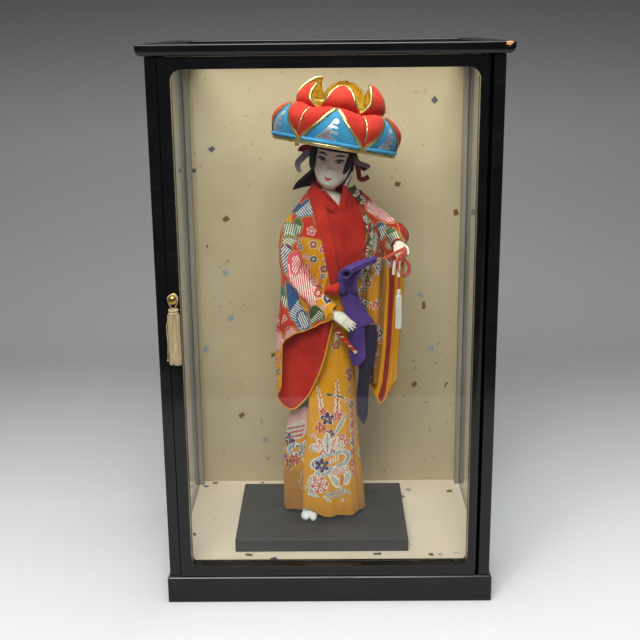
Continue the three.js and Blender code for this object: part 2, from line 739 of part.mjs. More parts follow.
// Red under-robe, the robe's upper half with its open front, and the two collar bands
const seam = waistHeight + fitGap;
const front = -caseDepth / 3;
const neckline = deepened(outline([[-0.02, 1.12], [0.21, 0.85], [0.35, 1.12]].map(frontView)), front, 1);
place(doll, "red_under_robe", cut(
  trunkShell(-clothThickness, 0, seam, neckHeight + collarRise),
  rightArm(fitGap), leftArm(fitGap), neckInDoll, neckline,
), redCloth);
const openLeft = [[-0.12, 1.04], [0.035, 0.51], [0.125, -0.01]].map(frontView);
const openRight = [[0.48, 1.04], [0.54, 0.51], [0.44, -0.01]].map(frontView);
const openFront = deepened(outline([...openLeft, ...[...openRight].reverse()]), front, 4);
const robeShell = trunkShell(fitGap, clothThickness, seam, neckHeight - 2);
place(doll, "robe_upper", cut(robeShell, openFront, rightArm(fitGap), leftArm(fitGap)), yellowCloth);

function collar(edge, inward) {
  const near = edge.map(([x, z]) => [x + inward * fitGap, z]);
  const far = edge.map(([x, z]) => [x + inward * collarWidth, z]).reverse();
  const band = common(robeShell, deepened(outline([...near, ...far]), front, 2));
  return largest(cut(band, rightArm(fitGap), leftArm(fitGap)));
}
place(doll, "right_collar_band", collar(openLeft, 1), redCloth);
place(doll, "left_collar_band", collar(openRight, -1), redCloth);

// Robe skirt: one width of cloth wrapped once and a sixth round the legs, open at the front left.
// Levels as [share of the height, middle x, middle y, half width, half depth]
const skirtLevels = [
  [0, 0.02, 0.03, 0.46, 0.3], [0.25, 0.003, 0.03, 0.42, 0.29], [0.5, 0.05, 0.03, 0.34, 0.27],
  [0.75, 0.05, 0.03, 0.33, 0.25], [1, 0.07, 0.02, 0.31, 0.23],
].map(sized);

function skirtPlace(turned, v) {
  const u = 1 - turned;
  const angle = (skirtStart - skirtWrap * u) * degrees;
  const [cx, cy, rx, ry] = between(skirtLevels, v);
  const wrapHem = mix(0.62, 1, smooth(0.143, 0.31, u));
  const wrapWaist = mix(0.84, 1, u);
  const fold = 0.018 * Math.cos(9 * angle) * (1 - v) * smooth(0.2, 0.35, u);
  const reach = mix(wrapHem, wrapWaist, smooth(0, 1, v)) + fold;
  const lift = hemLift * (1 - smooth(0.18, 0.23, u)) + edgeLift * smooth(0.9, 1, u);
  const z = mix(hemHeight + lift, waistHeight, v);
  return [cx + rx * reach * Math.cos(angle), cy + ry * reach * Math.sin(angle), z];
}
place(doll, "robe_skirt", sheet(skirtPlace, 42, 7, clothThickness), yellowCloth);
const skirtSpace = loft(skirtLevels.map(([t, cx, cy, rx, ry]) =>
  ellipse(32, cx, cy, mix(hemHeight, seam, t), rx * 1.02 + fitGap, ry * 1.02 + fitGap)));
const robeSpace = trunk(clothThickness + fitGap, seam - 1, neckHeight + collarRise);

// Right sleeve: a tube over the bent arm, a short front layer and a long lined back layer
const sleeveX = (u) => mix(-0.48, 0.13, u);
const sleeveY = (u) => -0.1 - 0.26 * u ** 0.7;
const forearmZ = (u) => mix(0.24, -0.21, u);
const backEdge = (u) => -1.16 - 0.12 * Math.sin(Math.min(1, u / 0.4) * Math.PI) + 0.78 * u ** 2.2;
const rightBack = (u, v) => {
  const fold = 0.016 * Math.sin(5 * Math.PI * u) * v;
  return posed([sleeveX(u) - 0.03 * v * (1 - u), sleeveY(u) + fold, mix(forearmZ(u), backEdge(u), v)]);
};
const rightFront = (u, v) => {
  const fold = 0.012 * Math.sin(4 * Math.PI * u + 1) * v;
  return posed([sleeveX(u), sleeveY(u) - 0.07 * v + fold, mix(forearmZ(u), mix(-0.57, -0.28, u), v)]);
};
const cuffPath = [[0.08, -0.345, -0.185], [0.16, -0.37, -0.235], [0.24, -0.395, -0.285]].map(posed);
const cuffSpace = limb(cuffPath, () => armRadius * 0.75, 2, 10);
const cuffed = (radius) => (t) => mix(radius * 1.25, radius * 0.9, smooth(0, 0.5, t));
place(doll, "right_sleeve", largest(cut(
  join(
    limb(rightArmPath, cuffed(rightSleeveRadius), 10, 12),
    sheet(rightBack, 10, 7, -sleeveCloth),
    sheet(rightFront, 8, 3, -sleeveCloth),
  ),
  rightArm(fitGap), robeSpace, skirtSpace, cuffSpace,
)), yellowCloth);

// Left sleeve: a tube over the raised arm and a long bag in vertical folds
const leftBag = (u, v) => {
  const fold = 0.032 * Math.cos(3 * Math.PI * u) * smooth(0.05, 0.5, v);
  const bottom = -1.17 - 0.16 * Math.sin(Math.PI * clamp01(u * 1.3)) + 0.12 * u;
  const x = mix(mix(0.48, 0.9, u), mix(0.55, 0.79, u), v);
  return posed([x, 0.02 - 0.04 * u + fold, mix(mix(0.6, 0.5, u), bottom, v)]);
};
place(doll, "left_sleeve", largest(cut(
  join(limb(leftArmPath, cuffed(leftSleeveRadius), 10, 12), sheet(leftBag, 12, 6, -2 * sleeveCloth)),
  leftArm(fitGap), robeSpace, skirtSpace,
)), yellowCloth);

// Purple sash tucked in at the waist, and its narrow tail
const sashMiddle = (v) => mix(mix(0.43, 0.31, smooth(0, 0.45, v)), 0.46, smooth(0.45, 1, v));
const sashHalf = (v) => mix(mix(0.14, 0.11, smooth(0, 0.4, v)), 0.135, v);
const sashY = -0.24;
const sashGap = 0.75;
const sashFront = (u, v) => {
  const tuck = 0.16 * (1 - smooth(0, 0.22, v)) + 0.012 * Math.sin(2 * Math.PI * u) * v;
  const x = sashMiddle(v) + (2 * u - 1) * sashHalf(v);
  return posed([x, sashY + tuck, mix(0.36, -0.5, v) + 0.05 * u]);
};
const sashCloth = sheet(sashFront, 6, 8, -sashThickness);
place(doll, "purple_sash", largest(cut(sashCloth, robeSpace, skirtSpace)), purpleCloth);
const tailFront = (u, v) => {
  const [x, y, z] = posed([
    mix(mix(0.45, 0.59, u), mix(0.39, 0.48, u), v),
    sashY + 0.05 * v + 0.01 * Math.sin(Math.PI * u),
    mix(-0.43, -1.52 - 0.08 * u, v),
  ]);
  return [x, y + sashThickness + sashGap, z];
};
place(doll, "sash_tail", sheet(tailFront, 4, 8, -sashThickness), purpleCloth);

// Hands: a palm, four fingers and a thumb, fingers along +X, drawn for a figure 100 wide
function hand(curl) {
  const finger = (radius, length, x, y, z, bend) =>
    new THREE.CapsuleGeometry(radius, length, 2, 5)
      .rotateZ(-Math.PI / 2)
      .translate(length / 2, 0, 0)
      .rotateY(bend)
      .translate(x, y, z);
  const pieces = [
    new THREE.SphereGeometry(1, 8, 6).scale(8, 5.4, 3.4).translate(6.5, 0, 0),
    finger(3.2, 4, -0.5, 0, 0, 0),
    finger(1.4, 7, 5, 4.2, -1.4, curl * 0.5).rotateZ(0.25),
  ];
  for (let i = 0; i < 4; i++) {
    pieces.push(finger(1.35, 10.5 - Math.abs(i - 1.5), 11.5, 3.5 - 2.35 * i, 0.4, curl));
  }
  const scale = figureWidth / 100;
  return join(...pieces).scale(scale, scale, scale);
}

function aimed(geometry, from, to, roll) {
  const along = new THREE.Vector3(...to).sub(new THREE.Vector3(...from)).normalize();
  const side = new THREE.Vector3(0, 0, 1).cross(along).normalize();
  const up = along.clone().cross(side);
  const turned = new THREE.Matrix4().makeBasis(along, side, up)
    .multiply(new THREE.Matrix4().makeRotationX(roll));
  return geometry.applyMatrix4(turned).translate(...from);
}
const [rightWrist, rightAim] = [[0.146, -0.37, -0.226], [0.34, -0.42, -0.35]].map(posed);
const [leftWrist, leftAim] = [[0.845, -0.285, 0.485], [0.82, -0.46, 0.47]].map(posed);
place(doll, "right_hand", cut(
  aimed(hand(0.25), rightWrist, rightAim, -0.9), rightArm(fitGap),
), gofun);
place(doll, "left_hand", cut(aimed(hand(1.1), leftWrist, leftAim, 0.2), leftArm(fitGap)), gofun);

// Tassel hung by its cord from the left hand
const handTasselTop = posed([0.82, -0.4, 0.396]);
const cordBottom = handTasselTop[2] - handCordLength;
place(doll, "hand_cord", limb([
  handTasselTop, [handTasselTop[0] + 1, handTasselTop[1], mix(handTasselTop[2], cordBottom, 0.5)],
  [handTasselTop[0], handTasselTop[1], cordBottom],
], () => handCordRadius, 8, 8), redCloth);
place(doll, "hand_tassel", strands(handTasselRadius * 0.8, handTasselRadius, handTasselLength, 8)
  .translate(handTasselTop[0], handTasselTop[1], cordBottom - fitGap), whiteSilk);

// Head with its nose, hair with side locks, scarf and ribbons under the hat
const nose = new THREE.SphereGeometry(1, 8, 6).scale(2, 2.6, 4).translate(0, -20.4, 24)
  .scale(headScale, headScale, headScale);
place(head, "head", join(skull(0), nose), gofun);
const hatCeiling = hatHeight + hatHollowHeight;
const hairTop = hatCeiling - fitGap;
const hairBall = new THREE.SphereGeometry(1, 18, 10).scale(hairWidth, hairDepth, hairHeight)
  .translate(0, 2, hairTop - hairHeight);
const lock = (sx) => new THREE.SphereGeometry(1, 8, 6)
  .scale(hairWidth * 0.22, hairWidth * 0.39, hairWidth * 0.63)
  .translate(sx * hairWidth * 0.9, -hairWidth * 0.29, hairline - hairWidth * 0.585);
const faceHalf = hairWidth * 0.68;
const faceWindow = boxBetween(-faceHalf, faceHalf, -2 * hairWidth, -0.25 * hairWidth, -hairWidth, hairline);
place(head, "hair", largest(cut(join(hairBall, lock(-1), lock(1)), skull(fitGap), faceWindow)), blackHair);
const scarfFront = (u, v) => {
  const angle = mix(25, 155, u) * degrees;
  const flare = mix(1, mix(1.3, 1.75, u), v);
  const bottom = hairline * (mix(-0.18, -0.115, u) + 0.205 * Math.sin(Math.PI * u));
  return [
    (hairWidth + 1.5) * flare * Math.cos(angle),
    2 + (hairDepth + 2.6) * mix(1, 1.12, v) * Math.sin(angle),
    mix(hairline, bottom, v),
  ];
};
const robeFromHead = robeSpace.clone().applyMatrix4(head.matrix.clone().invert());
place(head, "head_scarf", largest(cut(sheet(scarfFront, 12, 5, -sashThickness), robeFromHead)), purpleCloth);

// A ribbon end: a flat strip whose two edges run either side of a path in front view
function ribbon(path) {
  const curve = new THREE.CatmullRomCurve3(path.map(([x, z]) => new THREE.Vector3(x, 0, z)));
  return sheet((u, v) => {
    const p = curve.getPointAt(v);
    const along = curve.getTangentAt(v);
    const side = (u - 0.5) * ribbonWidth;
    return [p.x - along.z * side, p.y + 2.5 * Math.sin(2 * Math.PI * v), p.z + along.x * side];
  }, 2, 10, ribbonThickness);
}
const ribbonRoot = 1 + ribbonWidth / 2 / hairWidth;
const onHair = ([x, z]) => [x * hairWidth, z * hairline];
const leftFall = [[ribbonRoot, 0.955], [ribbonRoot + 0.15, 0.73], [1.51, 0.48], [1.95, 0.34]].map(onHair);
const rightFall = [
  [-ribbonRoot + 0.054, 0.955], [-ribbonRoot - 0.29, 0.865], [-1.755, 0.68], [-1.51, 0.5],
].map(onHair);
place(head, "left_ribbon", ribbon(leftFall), redCloth);
place(head, "right_ribbon", ribbon(rightFall), redCloth);

// Flower hat: a brim of triangular panels between puffed petals, a gold rim tape and a lotus crown
const hat = new THREE.Group();
hat.position.set(-2, 0, hatHeight);
hat.rotation.set(hatTilt * degrees, 0, -headTurn * degrees);
head.add(hat);
const period = (2 * Math.PI) / hatPetals;
const hatSides = hatPetals * 8;
const hatAngle = (i) => (i / hatSides) * 2 * Math.PI - Math.PI / 2;
const brimProfile = [
  [0, hatRadius, 0], [0.15, hatRadius * 1.01, brimHeight * 0.18], [0.35, hatRadius * 0.99, brimHeight * 0.4],
  [0.6, mix(brimShoulder, hatRadius, 0.68), brimHeight * 0.68], [0.8, brimShoulder * 1.08, brimHeight * 0.9],
  [0.92, brimShoulder, brimHeight], [1, brimShoulder * 0.9, brimHeight * 0.97],
];
const brimRing = ([t, radius, z]) => Array.from({ length: hatSides }, (_, i) => {
  const fromPanel = ((i / 8) % 1) - 0.5;
  const fromPetal = (0.5 - Math.abs(fromPanel)) * period * (i % 8 === 0 ? 0 : 1);
  const reach = Math.max(1e-3, t * period / 2);
  const swell = t < 1 ? petalPuff * smooth(0.1, 0.6, t) : 0;
  const puff = swell * Math.sqrt(Math.max(0, 1 - (fromPetal / reach) ** 2));
  const angle = hatAngle(i) + period / 2;
  return new THREE.Vector3((radius + puff) * Math.cos(angle), (radius + puff) * Math.sin(angle), z);
});
const plainRing = (radius, z) => Array.from({ length: hatSides }, (_, i) => {
  const angle = hatAngle(i) + period / 2;
  return new THREE.Vector3(radius * Math.cos(angle), radius * Math.sin(angle), z);
});
place(hat, "hat_brim", loft([
  plainRing(hatHollowRadius, hatHollowHeight), plainRing(hatHollowRadius, hatHollowHeight * 0.7),
  plainRing(hatRadius - 3, 1.5), ...brimProfile.map(brimRing),
  plainRing(crownBase * 1.25, brimHeight - brimDish), plainRing(crownBase * 0.6, brimHeight - brimDish),
]), hatRed);

function hoop(profile, sides) {
  const points = [];
  const faces = [];
  for (let i = 0; i < sides; i++) {
    const angle = (i / sides) * 2 * Math.PI;
    profile.forEach(([r, z]) => points.push(new THREE.Vector3(r * Math.cos(angle), r * Math.sin(angle), z)));
  }
  const count = profile.length;
  for (let i = 0; i < sides; i++) {
    for (let k = 0; k < count; k++) {
      const a = i * count + k;
      const b = i * count + ((k + 1) % count);
      const c = ((i + 1) % sides) * count + k;
      const d = ((i + 1) % sides) * count + ((k + 1) % count);
      faces.push(a, b, d, a, d, c);
    }
  }
  return facingOut(points, faces);
}
const bandInner = hatRadius + fitGap;
const bandOuter = bandInner + rimBandThickness;
place(hat, "hat_rim_band", hoop([
  [bandInner, -rimBandWidth / 2], [bandOuter, -rimBandWidth / 2],
  [bandOuter, rimBandWidth / 2], [bandInner, rimBandWidth / 2],
], hatSides), hatGold);

// Crown: levels of one petal from its root to its tip as [radius, height]
const crownLevels = [
  [crownBase, 0], [crownRadius * 0.84, crownHeight * 0.15], [crownRadius * 0.98, crownHeight * 0.3],
  [crownRadius, crownHeight * 0.44], [crownRadius * 0.93, crownHeight * 0.64],
  [crownRadius * 0.8, crownHeight * 0.83], [crownRadius * 0.62, crownHeight],
];
const crownTable = crownLevels.map(([r, z], i) => [i / (crownLevels.length - 1), r, z]);
const crownRing = (share, inward) => Array.from({ length: hatSides }, (_, i) => {
  const across = Math.abs(((i / 8) % 1) - 0.5) * 2;
  const tall = mix(1, 0.5, across ** 1.6);
  const [radius, z] = between(crownTable, share * tall);
  const angle = hatAngle(i) + period / 2;
  const r = radius - inward;
  return new THREE.Vector3(r * Math.cos(angle), r * Math.sin(angle), z + inward * (1 - share));
});
const shares = [0, 0.2, 0.4, 0.6, 0.8, 1];
place(hat, "hat_crown", loft([
  plainRing(crownBase * 0.5, 0),
  ...shares.map((share) => crownRing(share, 0)),
  ...[...shares].reverse().map((share) => crownRing(share, crownWall)),
  plainRing(crownBase * 0.5, crownWall),
]).translate(0, 0, brimHeight - brimDish + fitGap), hatRed);

export default part;
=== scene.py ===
import math

import bpy
import numpy as np
from mathutils import Matrix, Vector


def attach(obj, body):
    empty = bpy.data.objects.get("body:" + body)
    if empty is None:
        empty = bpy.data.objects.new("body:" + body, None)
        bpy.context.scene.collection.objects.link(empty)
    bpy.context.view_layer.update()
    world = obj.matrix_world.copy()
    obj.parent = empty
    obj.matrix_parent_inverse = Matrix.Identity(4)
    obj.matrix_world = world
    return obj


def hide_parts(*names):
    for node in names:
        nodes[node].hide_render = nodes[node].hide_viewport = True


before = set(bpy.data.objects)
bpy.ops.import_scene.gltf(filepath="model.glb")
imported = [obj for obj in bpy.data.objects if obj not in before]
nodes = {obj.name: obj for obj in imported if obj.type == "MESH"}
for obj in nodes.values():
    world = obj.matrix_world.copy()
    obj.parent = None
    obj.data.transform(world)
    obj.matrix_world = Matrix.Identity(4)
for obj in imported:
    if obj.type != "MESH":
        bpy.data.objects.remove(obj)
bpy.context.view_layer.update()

RNG = np.random.default_rng(21)


# Small sums used by every piece

def mix(a, b, t):
    return a + (b - a) * t


def smooth(a, b, x):
    t = np.clip((x - a) / (b - a), 0, 1)
    return t * t * (3 - 2 * t)


def bell(x, middle, width):
    return np.exp(-((x - middle) / width) ** 2)


def ink(red, green, blue):
    """A colour as it looks on screen, 0 to 255, as linear light."""
    share = np.array([red, green, blue]) / 255
    return np.where(share <= 0.04045, share / 12.92, ((share + 0.055) / 1.055) ** 2.4)


def rgba(colour):
    return (*[float(c) for c in colour], 1.0)


def curve_through(points, count):
    """A smooth run of places through a few points, evenly stepped along its length."""
    p = np.array(points, float)
    p = np.vstack([2 * p[0] - p[1], p, 2 * p[-1] - p[-2]])
    t = np.linspace(0, 1, 24, endpoint=False)[:, None]
    runs = []
    for a, b, c, d in zip(p, p[1:], p[2:], p[3:]):
        runs.append(0.5 * (2 * b + (c - a) * t + (2 * a - 5 * b + 4 * c - d) * t ** 2
                           + (3 * b - a - 3 * c + d) * t ** 3))
    runs.append(p[-2:-1])
    fine = np.vstack(runs)
    length = np.append(0, np.cumsum(np.linalg.norm(np.diff(fine, axis=0), axis=1)))
    stops = np.linspace(0, length[-1], count)
    return np.stack([np.interp(stops, length, fine[:, k]) for k in range(fine.shape[1])], -1)


def along(table, x):
    """Columns of a table read at x in its first column, rounded off between its rows."""
    rows = np.array(table, float)
    keys = rows[:, 0]
    out = []
    for values in rows[:, 1:].T:
        slope = np.gradient(values, keys)
        i = np.clip(np.searchsorted(keys, x) - 1, 0, len(keys) - 2)
        span = keys[i + 1] - keys[i]
        t = np.clip((x - keys[i]) / span, 0, 1)
        a, b = values[i], values[i + 1]
        out.append((2 * t ** 3 - 3 * t ** 2 + 1) * a + (t ** 3 - 2 * t ** 2 + t) * span * slope[i]
                   + (3 * t ** 2 - 2 * t ** 3) * b + (t ** 3 - t ** 2) * span * slope[i + 1])
    return out


def unit(v):
    return v / np.linalg.norm(v, axis=-1, keepdims=True)


def stacked(*parts):
    """Places, or places on a flat map, from coordinates that may be rows, columns or plain numbers."""
    return np.stack(np.broadcast_arrays(*parts), -1)


def row(low, high, count):
    return np.linspace(low, high, count)[None]


def column(low, high, count):
    return np.linspace(low, high, count)[:, None]


def full_turn(count):
    return np.linspace(0, 2 * math.pi, count, endpoint=False)


def spoke(degrees):
    return math.cos(math.radians(degrees)), math.sin(math.radians(degrees))


# Frames of the doll, its head and its hat, in millimetres

DOLL = Matrix.Translation((-8, -5, 48.6))
HEAD = (DOLL @ Matrix.Translation((10, 0, 362)) @ Matrix.Rotation(math.radians(9.5), 4, "Y")
        @ Matrix.Rotation(math.radians(-8), 4, "Z"))
HAT = (HEAD @ Matrix.Translation((-2, 0, 47.4)) @ Matrix.Rotation(math.radians(-5.5), 4, "X")
       @ Matrix.Rotation(math.radians(3.5), 4, "Z"))
CASE = Matrix.Identity(4)


# Shader and geometry trees

class Wire:
    """A socket that takes part in sums; `node` makes any other node of its tree."""

    def __init__(self, tree, socket=None):
        self.tree = tree
        self.socket = socket

    def node(self, kind, settings=None, sockets=None, out=0):
        made = self.tree.nodes.new(kind)
        for key, value in (settings or {}).items():
            setattr(made, key, value)
        for key, value in (sockets or {}).items():
            if isinstance(value, Wire):
                self.tree.links.new(value.socket, made.inputs[key])
            else:
                made.inputs[key].default_value = value
        return Wire(self.tree, made.outputs[out])

    def math(self, operation, *others):
        return self.node("ShaderNodeMath", {"operation": operation}, dict(enumerate((self, *others))))

    def __add__(self, other):
        return self.math("ADD", other)

    __radd__ = __add__

    def __mul__(self, other):
        return self.math("MULTIPLY", other)

    __rmul__ = __mul__

    def __sub__(self, other):
        return self.math("SUBTRACT", other)

    def __rsub__(self, other):
        return self * -1.0 + other

    def __pow__(self, other):
        return self.math("POWER", other)

    def ease(self, low, high, start=0.0, end=1.0):
        return self.node("ShaderNodeMapRange", {"interpolation_type": "SMOOTHSTEP"},
                         {"Value": self, "From Min": low, "From Max": high, "To Min": start, "To Max": end})

    def between(self, first, second):
        """The colour that lies this share of the way from the first to the second."""
        return self.node("ShaderNodeMix", {"data_type": "RGBA"}, {0: self, 6: first, 7: second}, out=2)

    def parts(self):
        split = self.node("ShaderNodeSeparateXYZ", sockets={0: self})
        return [Wire(self.tree, s) for s in split.socket.node.outputs]

    def placed(self):
        return self.node("ShaderNodeTexCoord", out="Object")

    def laid(self):
        return self.node("ShaderNodeTexCoord", out="UV")

    def field(self, name, out="Fac"):
        return self.node("ShaderNodeAttribute", {"attribute_name": name}, out=out)

    def noise(self, where, scale, detail=2.0, roughness=0.5, stretch=(1, 1, 1)):
        spread = self.node("ShaderNodeMapping", sockets={"Vector": where, "Scale": stretch})
        return self.node("ShaderNodeTexNoise", sockets={
            "Vector": spread, "Scale": scale, "Detail": detail, "Roughness": roughness})

    def raised(self, depth, strength):
        """This value as a relief of the given depth in metres."""
        return self.node("ShaderNodeBump", sockets={"Height": self, "Distance": depth, "Strength": strength})


def finish(name, look, **fixed):
    """A material: `look` gives the sockets that vary over the surface, `fixed` the ones that do not."""
    made = bpy.data.materials.new(name)
    made.use_nodes = True
    shader = made.node_tree.nodes["Principled BSDF"]
    for key, value in fixed.items():
        shader.inputs[key.replace("_", " ")].default_value = value
    for key, wire in look(Wire(made.node_tree)).items():
        made.node_tree.links.new(wire.socket, shader.inputs[key])
    return made


def weave(w, pitch=0.00045):
    """Plain weave: warp and weft ridges on the piece's own UV map, which is in metres."""
    u, v, _ = w.laid().parts()
    warp = (u * (math.pi / pitch)).math("SINE")
    weft = (v * (math.pi / pitch)).math("SINE")
    threads = (warp * weft) * 0.5 + 0.5
    slub = w.noise(w.laid(), 900.0, 2.0, stretch=(1, 0.12, 1))
    return (threads + slub * 0.8).raised(0.00012, 0.7)


def plain_cloth(name, light, dark, roughness=0.8, pitch=0.00045):
    def look(w):
        fade = w.noise(w.placed(), 38.0, 3.0).ease(0.3, 0.7)
        fine = w.noise(w.laid(), 700.0, 1.0, stretch=(0.2, 1, 1)).ease(0.2, 0.8)
        return {"Base Color": (fade * 0.7 + fine * 0.3).between(rgba(light), rgba(dark)),
                "Roughness": fade.ease(0.0, 1.0, roughness - 0.06, roughness + 0.08),
                "Normal": weave(w, pitch)}
    return finish(name, look, Sheen_Weight=0.15, Sheen_Roughness=0.5, Specular_IOR_Level=0.18)


def dyed_cloth(name):
    """Stencil-dyed cloth: the dye of each place, parted by white resist lines."""
    def look(w):
        line = w.field("resist")
        fray = w.noise(w.laid(), 1600.0, 1.0) * 0.3 - 0.15
        kept = (line + fray).ease(0.18, 0.42)
        faded = w.noise(w.placed(), 60.0, 3.0).ease(0.25, 0.75, 0.0, 0.07)
        dye = faded.between(w.field("dye", "Color"), rgba(ink(224, 196, 150)))
        return {"Base Color": kept.between(rgba(ink(236, 226, 206)), dye),
                "Roughness": faded.ease(0.0, 0.07, 0.76, 0.88),
                "Normal": weave(w)}
    return finish(name, look, Sheen_Weight=0.1, Sheen_Roughness=0.5, Specular_IOR_Level=0.15)


# Meshes: a piece is gathered from skins, each a set of points and faces with its own finish

class Piece:
    def __init__(self, name, place=DOLL):
        self.name = name
        self.place = np.array(place)
        self.points, self.loops, self.sizes, self.kinds, self.finishes = [], [], [], [], []
        self.fields = {"dye": [], "resist": [], "laid": []}
        self.count = 0

    def skin(self, points, faces, material, dye=None, resist=None, laid=None):
        points = np.asarray(points, float).reshape(-1, 3)
        n = len(points)
        if material not in self.finishes:
            self.finishes.append(material)
        faces = np.asarray(faces)
        self.points.append(points)
        self.loops.append((faces + self.count).ravel())
        self.sizes.append(np.full(len(faces), faces.shape[1]))
        self.kinds.append(np.full(len(faces), self.finishes.index(material)))
        colour = np.ones((n, 4))
        if dye is not None:
            colour[:, :3] = np.asarray(dye).reshape(-1, 3)
        self.fields["dye"].append(colour)
        self.fields["resist"].append(np.full(n, 9.0) if resist is None else np.asarray(resist).reshape(-1))
        flat = points[:, [0, 2]] if laid is None else np.asarray(laid).reshape(-1, 2)
        self.fields["laid"].append(flat * 0.001)
        self.count += n
        return self

    def made(self, shaded=True):
        points = np.vstack(self.points)
        points = (points @ self.place[:3, :3].T + self.place[:3, 3]) * 0.001
        loops = np.concatenate(self.loops).astype(np.int32)
        sizes = np.concatenate(self.sizes).astype(np.int32)
        mesh = bpy.data.meshes.new(self.name)
        mesh.vertices.add(len(points))
        mesh.vertices.foreach_set("co", points.ravel())
        mesh.loops.add(len(loops))
        mesh.loops.foreach_set("vertex_index", loops)
        mesh.polygons.add(len(sizes))
        mesh.polygons.foreach_set("loop_start", np.append(0, np.cumsum(sizes)[:-1]).astype(np.int32))
        mesh.polygons.foreach_set("loop_total", sizes)
        mesh.polygons.foreach_set("material_index", np.concatenate(self.kinds).astype(np.int32))
        mesh.polygons.foreach_set("use_smooth", np.full(len(sizes), shaded))
        for material in self.finishes:
            mesh.materials.append(material)
        colour = mesh.attributes.new("dye", "FLOAT_COLOR", "POINT")
        colour.data.foreach_set("color", np.vstack(self.fields["dye"]).ravel())
        line = mesh.attributes.new("resist", "FLOAT", "POINT")
        line.data.foreach_set("value", np.concatenate(self.fields["resist"]))
        flat = np.vstack(self.fields["laid"])[loops]
        mesh.uv_layers.new(name="laid").data.foreach_set("uv", flat.ravel())
        mesh.update(calc_edges=True)
        mesh.validate()
        made = bpy.data.objects.new(self.name, mesh)
        bpy.context.scene.collection.objects.link(made)
        return made


def lattice(rows, columns, closed=False):
    """Quads over rows of points; a closed lattice joins its last column to its first."""
    index = np.arange(rows * columns).reshape(rows, columns)
    if closed:
        index = np.hstack([index, index[:, :1]])
    return stacked(index[:-1, :-1], index[:-1, 1:], index[1:, 1:], index[1:, :-1]).reshape(-1, 4)


def outward(grid):
    """Which way a grid of places faces at each of them."""
    normal = np.cross(np.gradient(grid, axis=1), np.gradient(grid, axis=0))
    return normal / np.maximum(np.linalg.norm(normal, axis=2, keepdims=True), 1e-9)


def every(count, step):
    return np.unique(np.append(np.arange(0, count, step), count - 1))


def lay_cloth(piece, grid, thickness, face, lining, dye=None, resist=None, laid=None, coarse=3, rim=None):
    """A width of cloth: its face on the grid, its lining one thickness behind, and the edge between them."""
    rows, columns = grid.shape[:2]
    back = grid - outward(grid) * thickness
    piece.skin(grid, lattice(rows, columns), face, dye, resist, laid)
    r, c = every(rows, coarse), every(columns, coarse)
    behind = back[np.ix_(r, c)]
    flat = None if laid is None else np.asarray(laid)[np.ix_(r, c)]
    shade = None if dye is None else np.asarray(dye)[np.ix_(r, c)]
    piece.skin(behind, lattice(len(r), len(c))[:, ::-1], lining, shade, None, flat)
    for border, inner in [(grid[0], back[0]), (grid[-1][::-1], back[-1][::-1]),
                          (grid[::-1, 0], back[::-1, 0]), (grid[:, -1], back[:, -1])]:
        strip = np.stack([border, inner])
        piece.skin(strip, lattice(2, strip.shape[1])[:, ::-1], rim or lining)


def close_ends(piece, grid, material, dye=None):
    """Fans over the first and last ring of a closed grid whose rings run upwards."""
    rows, sides = grid.shape[:2]
    i = np.arange(sides)
    for end, order in [(0, -1), (rows - 1, 1)]:
        ring = np.vstack([grid[end], grid[end].mean(axis=0)])
        fan = stacked(np.full(sides, sides), i, (i + 1) % sides)[:, ::order]
        shade = None if dye is None else np.broadcast_to(dye, (sides + 1, 3))
        piece.skin(ring, fan, material, dye=shade)


def tube(piece, path, radius, material, sides=10):
    """A round cord along a path of places, closed at both ends."""
    path = np.asarray(path, float)
    n = len(path)
    tangent = unit(np.gradient(path, axis=0))
    side = np.zeros_like(path)
    side[0] = unit(np.cross(tangent[0], [0.31, 0.84, 0.44]))
    for i in range(1, n):
        side[i] = unit(side[i - 1] - tangent[i] * (side[i - 1] @ tangent[i]))
    up = np.cross(tangent, side)
    angle = full_turn(sides)
    reach = np.broadcast_to(np.asarray(radius, float), (n,))[:, None, None]
    ring = side[:, None] * np.cos(angle)[:, None] + up[:, None] * np.sin(angle)[:, None]
    grid = path[:, None] + ring * reach
    length = np.append(0, np.cumsum(np.linalg.norm(np.diff(path, axis=0), axis=1)))
    piece.skin(grid, lattice(n, sides, True), material, laid=stacked(angle / (2 * math.pi) * 4, length[:, None]))
    close_ends(piece, grid, material)


def round_grid(levels, heights, sides):
    """Rings of an upright form: levels give middle x, middle y, half width and half depth at each height."""
    angle = full_turn(sides)
    cx, cy, rx, ry = [c[:, None] for c in along(levels, heights)]
    return stacked(cx + rx * np.cos(angle), cy + ry * np.sin(angle), heights[:, None])


def revolved(profile, sides, middle=(0, 0, 0)):
    """Rings of a form turned about an upright axis, from pairs of radius and height."""
    radius, height = np.array(profile, float).T[:, :, None]
    angle = full_turn(sides)
    return stacked(middle[0] + radius * np.cos(angle), middle[1] + radius * np.sin(angle), middle[2] + height)


def bind(piece, middle, radius, pitch, turns, thread, material, steps):
    """Rings of thread wound round a tassel, downwards from the middle of the first."""
    a = np.linspace(0, 2 * math.pi, steps)
    for turn in range(turns):
        tube(piece, stacked(middle[0] + radius * np.cos(a), middle[1] + radius * np.sin(a), middle[2] - pitch * turn),
             thread, material, 6)


# Geometry trees that repeat a piece or follow a path

